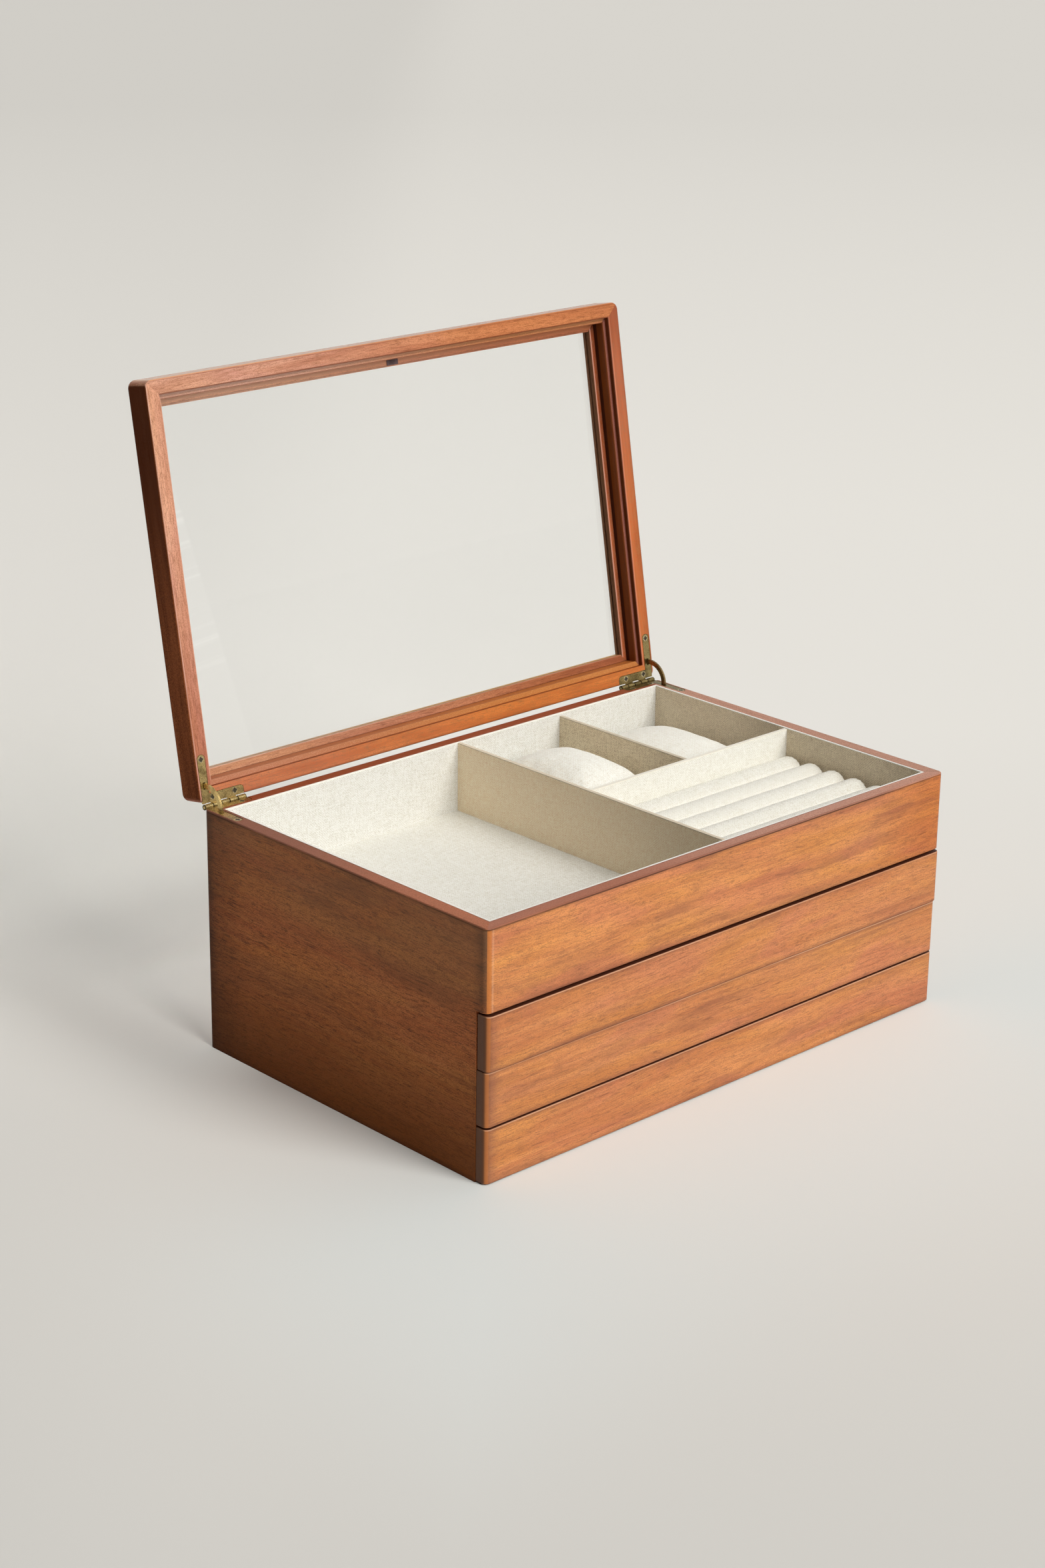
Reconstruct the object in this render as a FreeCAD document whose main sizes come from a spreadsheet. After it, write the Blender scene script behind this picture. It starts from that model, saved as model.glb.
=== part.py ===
"""Ring box: a shallow tray under a hinged glass lid, with three drawers below.

The box stands on its base board.  X runs left to right, Y front to back and Z up;
the origin is the centre of the footprint, on the underside.  The lid is drawn
standing open on its two quadrant hinges.  The lower two drawers are shut, and the
top one stands just ajar.
"""
import FreeCAD, Part
import Sketcher
import os
from collections import namedtuple

# ---------------------------------------------------------------- driving dimensions
SIZES = [
    ("case_width", 300.0, "case, outside, left to right"),
    ("case_depth", 194.5, "case, outside, front to back"),
    ("case_height", 120.5, "base to rim"),
    ("side_wall", 7.2, "side panel thickness"),
    ("back_wall", 6.4, "back panel thickness"),
    ("rail_wall", 6.2, "top front rail thickness at the rim"),
    ("rail_cover", 0.1, "top front rail's lower edge below the tray board"),
    ("corner_round", 3.0, "upright corners of the case"),
    ("edge_ease", 0.6, "softened arris on every outside edge"),
    ("base_thickness", 2.8, "base board"),
    ("base_rebate", 3.0, "how far the base board runs into the panels"),
    ("tray_board_thickness", 2.6, "board under the tray"),
    ("tray_groove", 2.5, "how far that board runs into the panels"),
    ("tray_depth", 35.7, "rim to the lined tray floor"),
    ("lining", 1.0, "linen on card, tray"),
    ("divider", 1.9, "linen-covered divider thickness"),
    ("left_bay_width", 143.7, "left bay, between lining and long divider"),
    ("ring_bay_depth", 87.3, "ring bay, between lining and cross divider"),
    ("long_divider_drop", 0.1, "rim to top of long divider"),
    ("cross_divider_drop", 0.4, "rim to top of cross divider"),
    ("short_divider_drop", 1.6, "rim to top of short divider"),
    ("soft_clear", 0.4, "room round the cushions and the ring pad"),
    ("soft_seat", 0.3, "room under the cushions and the ring pad"),
    ("cushion_edge", 17.0, "cushion height at its sides"),
    ("cushion_crown", 28.0, "cushion height at its middle"),
    ("roll_radius", 7.1, "ring roll"),
    ("roll_pitch", 14.48, "ring roll to ring roll"),
    ("roll_first", 7.25, "cross divider to middle of the first roll"),
    ("roll_crest_drop", 12.0, "rim to the crest of the rolls"),
    ("roll_end_clear", 1.2, "end of a roll to the bay wall"),
    ("front_thickness", 6.5, "drawer front board"),
    ("front_inset", 0.3, "drawer front end, inside the case side"),
    ("front_seat", 0.1, "room between a shut drawer front and the case"),
    ("gap_top", 0.9, "gap over the top drawer front"),
    ("gap_middle", 0.3, "gap over the middle drawer front"),
    ("gap_bottom", 0.7, "gap over the bottom drawer front"),
    ("front_ground", 0.5, "bottom drawer front to the table"),
    ("top_drawer_ajar", 0.8, "how far the top drawer stands open"),
    ("drawer_clear", 0.6, "drawer side to case side"),
    ("drawer_wall", 5.0, "drawer side and back thickness"),
    ("drawer_floor_clear", 0.4, "base board to the bottom drawer's sides"),
    ("drawer_side_drop", 2.5, "front board's upper edge to drawer side"),
    ("drawer_back_clear", 1.5, "drawer back to case back"),
    ("drawer_bottom", 2.5, "drawer bottom thickness"),
    ("drawer_bottom_lift", 2.0, "side's lower edge to drawer bottom"),
    ("drawer_groove", 2.4, "how far the bottom runs into the sides"),
    ("drawer_lining", 0.8, "linen on card, drawers"),
    ("lining_drop", 0.8, "drawer side's top edge to its lining"),
    ("runner_height", 3.0, "drawer runner"),
    ("runner_bite", 2.6, "runner's depth in the drawer side"),
    ("runner_lift", 9.5, "drawer side's lower edge to the runner"),
    ("runner_clear", 0.2, "room between runner and groove"),
    ("runner_front", 12.0, "case front edge to runner"),
    ("runner_back", 9.6, "drawer runner to case back"),
    ("barrel_clear", 0.15, "case back to hinge barrel"),
    ("axis_drop", 0.13, "rim to hinge axis"),
    ("lid_gap", 0.4, "rim to underside of the shut lid"),
    ("lid_open_angle", 99.95, "where the quadrant stays stop the lid"),
    ("lid_lip", 2.5, "how far the shut lid passes the case front"),
    ("lid_thickness", 14.3, "lid frame"),
    ("lid_corner", 4.0, "lid corners in plan"),
    ("lid_top_round", 1.6, "lid's outer top edge"),
    ("lid_face", 7.3, "flat face that meets the rim"),
    ("lid_step", 2.4, "first ledge, width"),
    ("lid_step_depth", 2.9, "first ledge below the face"),
    ("bead_width", 3.9, "glazing bead"),
    ("lip_thickness", 1.5, "lip that carries the pane"),
    ("bead_thickness", 1.6, "glazing bead"),
    ("glass_thickness", 1.8, "pane"),
    ("glass_clear", 0.2, "room round the pane"),
    ("clip_width", 7.0, "glass clip, along the rail"),
    ("clip_depth", 2.6, "glass clip, across the bead"),
    ("clip_thickness", 0.4, "glass clip"),
    ("clip_offset", 3.4, "glass clip, right of the middle"),
    ("leaf_inset", 1.35, "case side to hinge leaf"),
    ("leaf_length", 24.1, "hinge leaf along the back"),
    ("leaf_reach", 5.85, "hinge axis to the leaf's front edge"),
    ("leaf_thickness", 0.8, "hinge leaf"),
    ("leaf_corner", 1.8, "round corner at a leaf's inner end"),
    ("leaf_recess", 0.15, "rim to top of the case leaf"),
    ("leaf_play", 0.2, "room round a leaf in its mortise"),
    ("barrel_room", 0.3, "hinge barrel to the other leaf's back edge"),
    ("arm_width", 4.3, "leaf's arm along the side"),
    ("arm_reach", 24.65, "hinge axis to the end of the arm"),
    ("knuckle_radius", 1.3, "hinge barrel"),
    ("knuckle_play", 0.12, "gap between knuckles"),
    ("pin_radius", 0.65, "hinge pin"),
    ("pin_play", 0.05, "pin to the lid leaf's bore"),
    ("screw_head_radius", 1.6, "countersunk head"),
    ("screw_radius", 0.75, "screw shank"),
    ("screw_length", 6.5, "screw, head to point"),
    ("screw_near", 6.15, "leaf's outer end to the first screw"),
    ("screw_far", 5.05, "leaf's inner end to the second screw"),
    ("screw_line", 4.05, "hinge axis to the two rear screws"),
    ("recess_length", 1.7, "cross recess"),
    ("recess_width", 0.4, "cross recess"),
    ("recess_depth", 0.5, "cross recess"),
    ("stay_radius", 10.0, "quadrant stay, middle line"),
    ("stay_width", 2.4, "quadrant stay"),
    ("stay_thickness", 1.0, "quadrant stay"),
    ("stay_play", 0.2, "room round the stay in a leaf's slot"),
    ("stay_tail_case", 13.0, "degrees of stay below the case leaf"),
    ("stay_tail_lid", 16.0, "degrees of stay behind the lid leaf"),
    ("stay_pin_radius", 0.7, "stop pin at each end of the stay"),
    ("stay_pin_length", 1.8, "stop pin"),
    ("stay_pin_case", 10.0, "degrees from the axis level to the lower pin"),
    ("stay_pin_lid", 13.0, "degrees from the lid leaf to the upper pin"),
    ("stay_mortise_width", 2.4, "pocket for the stay"),
    ("stay_mortise_near", 2.8, "hinge axis to the pocket's back end"),
    ("cut_over", 1.0, "how far a cutter passes beyond the face it opens"),
]

ROLL_COUNT = 6
KNUCKLE_COUNT = 5
CASE_KNUCKLES = (0, 2, 4)
LID_KNUCKLES = (1, 3)

doc = FreeCAD.newDocument("RingBox")
dims = doc.addObject("Spreadsheet::Sheet", "dims")
for row, (alias, value, note) in enumerate(SIZES, start=1):
    dims.set(f"A{row}", note)
    dims.set(f"B{row}", str(value))
    dims.setAlias(f"B{row}", alias)
doc.recompute()

# Places that several pieces share, as expressions on the sheet.
HALF_W = "dims.case_width / 2"
HALF_D = "dims.case_depth / 2"
INNER_X = "(dims.case_width / 2 - dims.side_wall)"
INNER_BACK = "(dims.case_depth / 2 - dims.back_wall)"
INNER_FRONT = "(-dims.case_depth / 2 + dims.rail_wall)"
FRONTS_BACK = "(-dims.case_depth / 2 + dims.front_thickness)"
TRAY_FLOOR = "(dims.case_height - dims.tray_depth)"
BOARD_TOP = f"({TRAY_FLOOR} - dims.lining)"
BOARD_LOW = f"({BOARD_TOP} - dims.tray_board_thickness)"
RAIL_BOTTOM = f"({BOARD_LOW} - dims.rail_cover)"
LINED_X = f"({INNER_X} - dims.lining)"
LINED_BACK = f"({INNER_BACK} - dims.lining)"
LINED_FRONT = f"({INNER_FRONT} + dims.lining)"
AXIS_BEHIND = "(dims.knuckle_radius + dims.barrel_clear)"
AXIS_Y = f"({HALF_D} + {AXIS_BEHIND})"
AXIS_Z = "(dims.case_height - dims.axis_drop)"
LID_FACE_Z = "(dims.axis_drop + dims.lid_gap)"
LEAF_X = f"(-{HALF_W} + dims.leaf_inset)"
ARM_X = f"({LEAF_X} + dims.arm_width / 2)"
STAY_REACH = "(dims.stay_radius + dims.stay_width / 2 + 2 * dims.stay_play)"

Rect = namedtuple("Rect", "left right front back")
CLOSE = 1e-4
DOWN = FreeCAD.Vector(0, 0, -1)
ACROSS = FreeCAD.Vector(1, 0, 0)
# A placement needs some turn before its angle can be tied to the sheet.
START_ANGLE = 90
kept = []


# ---------------------------------------------------------------- ways of making a piece
def bind(thing, **paths):
    """Tie properties to expressions; a double underscore in a name stands for a dot."""
    for path, text in paths.items():
        thing.setExpression(path.replace("__", "."), str(text))
    return thing


def place(thing, x="0", y="0", z="0"):
    return bind(thing, Placement__Base__x=x, Placement__Base__y=y, Placement__Base__z=z)


def block(name, low, size):
    """A plain board from its low corner and its three sizes."""
    board = doc.addObject("Part::Box", name)
    bind(board, Length=size[0], Width=size[1], Height=size[2])
    return place(board, *low)


def span(name, x, y, z):
    """A plain board between two places on each axis."""
    size = [f"({high}) - ({low})" for low, high in (x, y, z)]
    return block(name, [low for low, high in (x, y, z)], size)


def rod(name, start, radius, length, axis=ACROSS):
    """A round bar from the middle of its first end."""
    bar = doc.addObject("Part::Cylinder", name)
    turn = FreeCAD.Rotation(FreeCAD.Vector(0, 0, 1), axis)
    bar.Placement = FreeCAD.Placement(FreeCAD.Vector(), turn)
    bind(bar, Radius=radius, Height=length)
    return place(bar, *start)


def joined(name, pieces):
    union = doc.addObject("Part::MultiFuse", name)
    union.Shapes = pieces
    union.Refine = True
    return union


def cut(name, base, tools):
    """The base less its tools."""
    result = doc.addObject("Part::Cut", name)
    result.Base = base
    result.Tool = tools[0] if len(tools) == 1 else joined(name + "_tools", tools)
    return result


def common(name, base, tool):
    result = doc.addObject("Part::Common", name)
    result.Base = base
    result.Tool = tool
    return result


def mirrored(name, source):
    """The right-hand copy of a left-hand piece."""
    copy = doc.addObject("Part::Mirroring", name)
    copy.Source = source
    copy.Normal = ACROSS
    return copy


def together(name, pieces):
    """Separate solids that share one node."""
    group = doc.addObject("Part::Compound", name)
    group.Links = pieces
    return group


def keep(label, piece):
    """Name a finished sub-part; its label is its file's name."""
    piece.Label = label
    kept.append(piece)
    return piece


def origin_plane(body, role):
    return next(f for f in body.Origin.OriginFeatures if f.Role == role)


def outline(body, name, points, level="0", role="XY_Plane"):
    """A closed sketch of straight lines, every corner tied to two expressions."""
    sketch = body.newObject("Sketcher::SketchObject", name)
    sketch.AttachmentSupport = [(origin_plane(body, role), "")]
    sketch.MapMode = "FlatFace"
    sketch.setExpression("AttachmentOffset.Base.z", str(level))
    count = len(points)
    around = [FreeCAD.Vector(i % 2 + i, i - i % 2, 0) for i in range(count)]
    for i in range(count):
        sketch.addGeometry(Part.LineSegment(around[i], around[(i + 1) % count]), False)
    for i in range(count):
        sketch.addConstraint(Sketcher.Constraint("Coincident", i, 2, (i + 1) % count, 1))
    for i, corner in enumerate(points):
        for kind, text in zip(("DistanceX", "DistanceY"), corner):
            index = sketch.addConstraint(Sketcher.Constraint(kind, -1, 1, i, 1, 1.0))
            sketch.setExpression(f"Constraints[{index}]", str(text))
    return sketch


def pad(body, name, points, low, high):
    """One layer of a body: an outline in plan, between two levels."""
    sketch = outline(body, name + "_outline", points, level=low)
    layer = body.newObject("PartDesign::Pad", name)
    layer.Profile = sketch
    layer.setExpression("Length", f"({high}) - ({low})")
    sketch.Visibility = False
    return layer


def new_body(name):
    return doc.addObject("PartDesign::Body", name)


def corners(rect):
    return [(rect.left, rect.front), (rect.right, rect.front),
            (rect.right, rect.back), (rect.left, rect.back)]


def mitre(side, outer, inner):
    """The plan of one mitred frame member, between two rectangles."""
    ends = {"front": ("left", "right", "front"), "back": ("left", "right", "back"),
            "left": ("front", "back", "left"), "right": ("front", "back", "right")}[side]
    first, last, edge = ends
    points = []
    for rect, order in ((outer, (first, last)), (inner, (last, first))):
        for end in order:
            across, along = getattr(rect, end), getattr(rect, edge)
            points.append((across, along) if side in ("front", "back") else (along, across))
    return points


def edges_where(shape, test):
    """Names of the edges whose bounding box passes a test."""
    return [f"Edge{i}" for i, e in enumerate(shape.Edges, start=1) if test(e.BoundBox)]


def fillet(body, name, base, radius, test):
    """Round the edges of the last feature that pass a test."""
    doc.recompute()
    names = edges_where(base.Shape, test)
    rounding = body.newObject("PartDesign::Fillet", name)
    rounding.Base = (base, names)
    rounding.setExpression("Radius", radius)
    return rounding


def upright(box):
    return box.XLength < CLOSE and box.YLength < CLOSE


def level_at(box, height):
    return box.ZLength < CLOSE and abs(box.ZMin - height) < CLOSE


def value(text):
    """What an expression on the sheet comes to."""
    return float(dims.evalExpression(text))


# ---------------------------------------------------------------- the case
# Four panels meet in mitres.  The top front rail closes the tray; below it the side
# panels stop short, so that the drawer fronts cover their edges.
case_outer = Rect(f"-{HALF_W}", HALF_W, f"-{HALF_D}", HALF_D)
case_inner = Rect(f"-{INNER_X}", INNER_X, INNER_FRONT, INNER_BACK)


def case_envelope():
    """The outside of the case, with its rounded corners and softened edges."""
    body = new_body("case_envelope")
    lower = Rect(case_outer.left, case_outer.right, FRONTS_BACK, case_outer.back)
    pad(body, "envelope_lower", corners(lower), "0", RAIL_BOTTOM)
    upper = pad(body, "envelope_upper", corners(case_outer), RAIL_BOTTOM, "dims.case_height")
    doc.recompute()
    half_width = value(HALF_W)
    front = -value(HALF_D)
    back = value(HALF_D)
    rail_bottom = value(RAIL_BOTTOM)
    fronts_back = value(FRONTS_BACK)
    top = value("dims.case_height")

    def outer_corner(box):
        return upright(box) and (abs(box.YMin - front) < CLOSE or abs(box.YMin - back) < CLOSE)

    def rim(box):
        return level_at(box, top)

    def rail_arris(box):
        behind = box.YMin > fronts_back - CLOSE and box.XLength > half_width
        return level_at(box, rail_bottom) and box.YMax < fronts_back + CLOSE and not behind

    rounded = fillet(body, "envelope_corners", upper, "dims.corner_round", outer_corner)
    eased = fillet(body, "envelope_rim", rounded, "dims.edge_ease", rim)
    fillet(body, "envelope_rail", eased, "dims.edge_ease", rail_arris)
    return body


def leaf_rear(name, play, near, low, high):
    """The rear part of a hinge leaf, grown by play, with its inner corner rounded."""
    front = f"-dims.leaf_reach - {play}"
    stop = f"{LEAF_X} + dims.leaf_length + {play}"
    corner = f"(dims.leaf_corner + {play})"
    return [span(name + "_rear", (f"{LEAF_X} - {play}", f"{stop} - {corner}"), (front, near), (low, high)),
            span(name + "_tip", (f"{stop} - {corner}", stop), (f"{front} + {corner}", near), (low, high)),
            rod(name + "_corner", (f"{stop} - {corner}", f"{front} + {corner}", low), corner,
                f"({high}) - ({low})", -DOWN)]


def hinge_mortise(name, low, high, stay_low, stay_high):
    """Room for one left-hand hinge leaf and for the stay that passes through it."""
    play = "dims.leaf_play"
    rear = leaf_rear(name, play, "0", low, high)
    arm = span(name + "_arm",
               (f"{LEAF_X} - {play}", f"{LEAF_X} + dims.arm_width + {play}"),
               ("-dims.arm_reach + dims.arm_width / 2", "0"), (low, high))
    end = rod(name + "_end", (ARM_X, "-dims.arm_reach + dims.arm_width / 2", low),
              f"dims.arm_width / 2 + {play}", f"({high}) - ({low})", -DOWN)
    pocket = span(name + "_pocket",
                  (f"{ARM_X} - dims.stay_mortise_width / 2", f"{ARM_X} + dims.stay_mortise_width / 2"),
                  ("-dims.stay_radius - dims.stay_width", "-dims.stay_mortise_near"),
                  (stay_low, stay_high))
    return [*rear, arm, end, pocket]


envelope = case_envelope()

CASE_LEAF_LOW = "(dims.axis_drop - dims.leaf_recess - dims.leaf_thickness)"
ABOVE_RIM = "(dims.axis_drop + dims.cut_over)"
case_mortise = joined("case_mortise", hinge_mortise(
    "case_mortise", CASE_LEAF_LOW, ABOVE_RIM, f"-{STAY_REACH}", ABOVE_RIM))
place(case_mortise, "0", AXIS_Y, AXIS_Z)
case_mortise_right = mirrored("case_mortise_right", case_mortise)

tray_groove = span("tray_groove",
                   (f"-{INNER_X} - dims.tray_groove", f"{INNER_X} + dims.tray_groove"),
                   (INNER_FRONT, f"{INNER_BACK} + dims.tray_groove"),
                   (BOARD_LOW, BOARD_TOP))
base_rebate = span("base_rebate",
                   (f"-{INNER_X} - dims.base_rebate", f"{INNER_X} + dims.base_rebate"),
                   (FRONTS_BACK, f"{INNER_BACK} + dims.base_rebate"),
                   ("0", "dims.base_thickness"))


def case_panel(name, side, low, tools):
    body = new_body(name + "_board")
    pad(body, name + "_blank", mitre(side, case_outer, case_inner), low, "dims.case_height")
    rounded = common(name + "_rounded", body, envelope)
    return cut(name, rounded, tools) if tools else rounded


side_left = case_panel("side_left", "left", "0", [tray_groove, base_rebate, case_mortise])
keep("side_panel_left", side_left)
keep("side_panel_right", mirrored("side_right", side_left))
keep("back_panel", case_panel("back", "back", "0",
                              [tray_groove, base_rebate, case_mortise, case_mortise_right]))
keep("front_top_rail", case_panel("top_rail", "front", RAIL_BOTTOM, []))

keep("base_board", block("base", (f"-{INNER_X} - dims.base_rebate", FRONTS_BACK, "0"),
                         (f"2 * ({INNER_X} + dims.base_rebate)",
                          f"{INNER_BACK} + dims.base_rebate - {FRONTS_BACK}",
                          "dims.base_thickness")))
keep("tray_board", span("tray_floor_board",
                        (f"-{INNER_X} - dims.tray_groove", f"{INNER_X} + dims.tray_groove"),
                        (INNER_FRONT, f"{INNER_BACK} + dims.tray_groove"),
                        (BOARD_LOW, BOARD_TOP)))

# ---------------------------------------------------------------- the tray
# Card covered in linen lines the floor and the four walls; three covered dividers
# part the tray into a wide bay, two cushion bays and the ring bay.
LONG_LEFT = f"(-{LINED_X} + dims.left_bay_width)"
LONG_RIGHT = f"({LONG_LEFT} + dims.divider)"
CROSS_FRONT = f"({LINED_FRONT} + dims.ring_bay_depth)"
CROSS_BACK = f"({CROSS_FRONT} + dims.divider)"
SHORT_LEFT = f"(({LONG_RIGHT} + {LINED_X} - dims.divider) / 2)"
SHORT_RIGHT = f"({SHORT_LEFT} + dims.divider)"
WALL = (TRAY_FLOOR, "dims.case_height")

keep("tray_lining_floor", span("lining_floor", (f"-{INNER_X}", INNER_X),
                               (INNER_FRONT, INNER_BACK), (BOARD_TOP, TRAY_FLOOR)))
lining_left = span("lining_left", (f"-{INNER_X}", f"-{LINED_X}"), (INNER_FRONT, INNER_BACK), WALL)
keep("tray_lining_left", lining_left)
keep("tray_lining_right", mirrored("lining_right", lining_left))
keep("tray_lining_front", span("lining_front", (f"-{LINED_X}", LINED_X),
                               (INNER_FRONT, LINED_FRONT), WALL))
keep("tray_lining_back", span("lining_back", (f"-{LINED_X}", LINED_X),
                              (LINED_BACK, INNER_BACK), WALL))
keep("tray_divider_long", span("divider_long", (LONG_LEFT, LONG_RIGHT),
                               (LINED_FRONT, LINED_BACK),
                               (TRAY_FLOOR, "dims.case_height - dims.long_divider_drop")))
keep("tray_divider_cross", span("divider_cross", (LONG_RIGHT, LINED_X),
                                (CROSS_FRONT, CROSS_BACK),
                                (TRAY_FLOOR, "dims.case_height - dims.cross_divider_drop")))
keep("tray_divider_short", span("divider_short", (SHORT_LEFT, SHORT_RIGHT),
                                (CROSS_BACK, LINED_BACK),
                                (TRAY_FLOOR, "dims.case_height - dims.short_divider_drop")))


# Width, side height and crest that a crowned profile starts from before it is solved.
START_PROFILE = (60, 20, 30)


def crowned(name, role, low, high, middle_level, edge_level, floor, reach):
    """An extrusion whose top is an arc over its width."""
    body = new_body(name)
    sketch = body.newObject("Sketcher::SketchObject", name + "_profile")
    sketch.AttachmentSupport = [(origin_plane(body, role), "")]
    sketch.MapMode = "FlatFace"
    wide, tall, crest = START_PROFILE
    points = [FreeCAD.Vector(0, 0, 0), FreeCAD.Vector(wide, 0, 0),
              FreeCAD.Vector(wide, tall, 0), FreeCAD.Vector(0, tall, 0)]
    crown = FreeCAD.Vector(wide / 2, crest, 0)
    sketch.addGeometry(Part.LineSegment(points[3], points[0]), False)
    sketch.addGeometry(Part.LineSegment(points[0], points[1]), False)
    sketch.addGeometry(Part.LineSegment(points[1], points[2]), False)
    sketch.addGeometry(Part.Arc(points[2], crown, points[3]), False)
    sketch.addGeometry(Part.Point(crown), True)
    for first, second in (((0, 2), (1, 1)), ((1, 2), (2, 1)), ((2, 2), (3, 1)), ((3, 2), (0, 1))):
        sketch.addConstraint(Sketcher.Constraint("Coincident", *first, *second))
    sketch.addConstraint(Sketcher.Constraint("PointOnObject", 4, 1, 3))
    tied = (((1, 1), low, floor), ((2, 1), high, floor), ((2, 2), high, edge_level),
            ((0, 1), low, edge_level), ((4, 1), f"(({low}) + ({high})) / 2", middle_level))
    for (geometry, end), across, up in tied:
        for kind, text in (("DistanceX", across), ("DistanceY", up)):
            index = sketch.addConstraint(Sketcher.Constraint(kind, -1, 1, geometry, end, 1.0))
            sketch.setExpression(f"Constraints[{index}]", text)
    layer = body.newObject("PartDesign::Pad", name + "_pad")
    layer.Profile = sketch
    layer.Midplane = True
    layer.setExpression("Length", reach)
    sketch.Visibility = False
    return body


def cushion(name, left, right, front, back):
    """A pillow that is crowned both ways."""
    low = f"({TRAY_FLOOR} + dims.soft_seat)"
    edge = f"({TRAY_FLOOR} + dims.cushion_edge)"
    middle = f"({TRAY_FLOOR} + dims.cushion_crown)"
    room = "dims.soft_clear"
    wide = crowned(name + "_wide", "XZ_Plane", f"{left} + {room}", f"{right} - {room}",
                   middle, edge, low, "2 * dims.case_depth")
    deep = crowned(name + "_deep", "YZ_Plane", f"{front} + {room}", f"{back} - {room}",
                   middle, edge, low, "2 * dims.case_width")
    return keep(name, common(name + "_crowned", wide, deep))


cushion("cushion_left", LONG_RIGHT, SHORT_LEFT, CROSS_BACK, LINED_BACK)
cushion("cushion_right", SHORT_RIGHT, LINED_X, CROSS_BACK, LINED_BACK)

ROLL_AXIS_Z = "(dims.case_height - dims.roll_crest_drop - dims.roll_radius)"
keep("ring_pad_base", span(
    "ring_pad",
    (f"{LONG_RIGHT} + dims.soft_clear", f"{LINED_X} - dims.soft_clear"),
    (f"{LINED_FRONT} + dims.soft_clear", f"{CROSS_FRONT} - dims.soft_clear"),
    (f"{TRAY_FLOOR} + dims.soft_seat", f"{ROLL_AXIS_Z} - dims.roll_radius - dims.soft_seat")))
rolls = [rod(f"ring_roll_{i + 1}",
             (f"{LONG_RIGHT} + dims.roll_end_clear",
              f"{CROSS_FRONT} - dims.roll_first - {i} * dims.roll_pitch", ROLL_AXIS_Z),
             "dims.roll_radius", f"{LINED_X} - {LONG_RIGHT} - 2 * dims.roll_end_clear")
         for i in range(ROLL_COUNT)]
keep("ring_rolls", together("ring_roll_group", rolls))

# ---------------------------------------------------------------- the drawers
# Each drawer is a front board on a thin box, hung on a runner at each side.
GAPS = ("dims.gap_top", "dims.gap_middle", "dims.gap_bottom")
FRONT_HEIGHT = f"(({RAIL_BOTTOM} - {' - '.join(GAPS)} - dims.front_ground) / {len(GAPS)})"
DRAWER_NAMES = ("top", "middle", "bottom")
DRAWER_X = f"({INNER_X} - dims.drawer_clear)"
SIDE_LIFT = "(dims.base_thickness + dims.drawer_floor_clear - dims.front_ground)"
SIDE_HEIGHT = f"({FRONT_HEIGHT} - {SIDE_LIFT} - dims.drawer_side_drop)"
runner_rows = []


def front_board(name, low, shift):
    """A board whose ends are rounded like the case corners and whose arrises are soft."""
    body = new_body(name + "_front_board")
    half = f"({HALF_W} - dims.front_inset)"
    front_face = f"(-{HALF_D} - dims.front_seat + ({shift}))"
    back_face = f"({front_face} + dims.front_thickness)"
    plan = Rect(f"-{half}", half, front_face, back_face)
    blank = pad(body, name + "_front_blank", corners(plan), low, f"{low} + {FRONT_HEIGHT}")
    front = value(front_face)
    back = value(back_face)

    def front_corner(box):
        return upright(box) and abs(box.YMin - front) < CLOSE

    def arris(box):
        return box.ZLength < CLOSE and box.YMin < back - CLOSE

    rounded = fillet(body, name + "_front_corners", blank, "dims.corner_round", front_corner)
    fillet(body, name + "_front_arris", rounded, "dims.edge_ease", arris)
    return body


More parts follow.
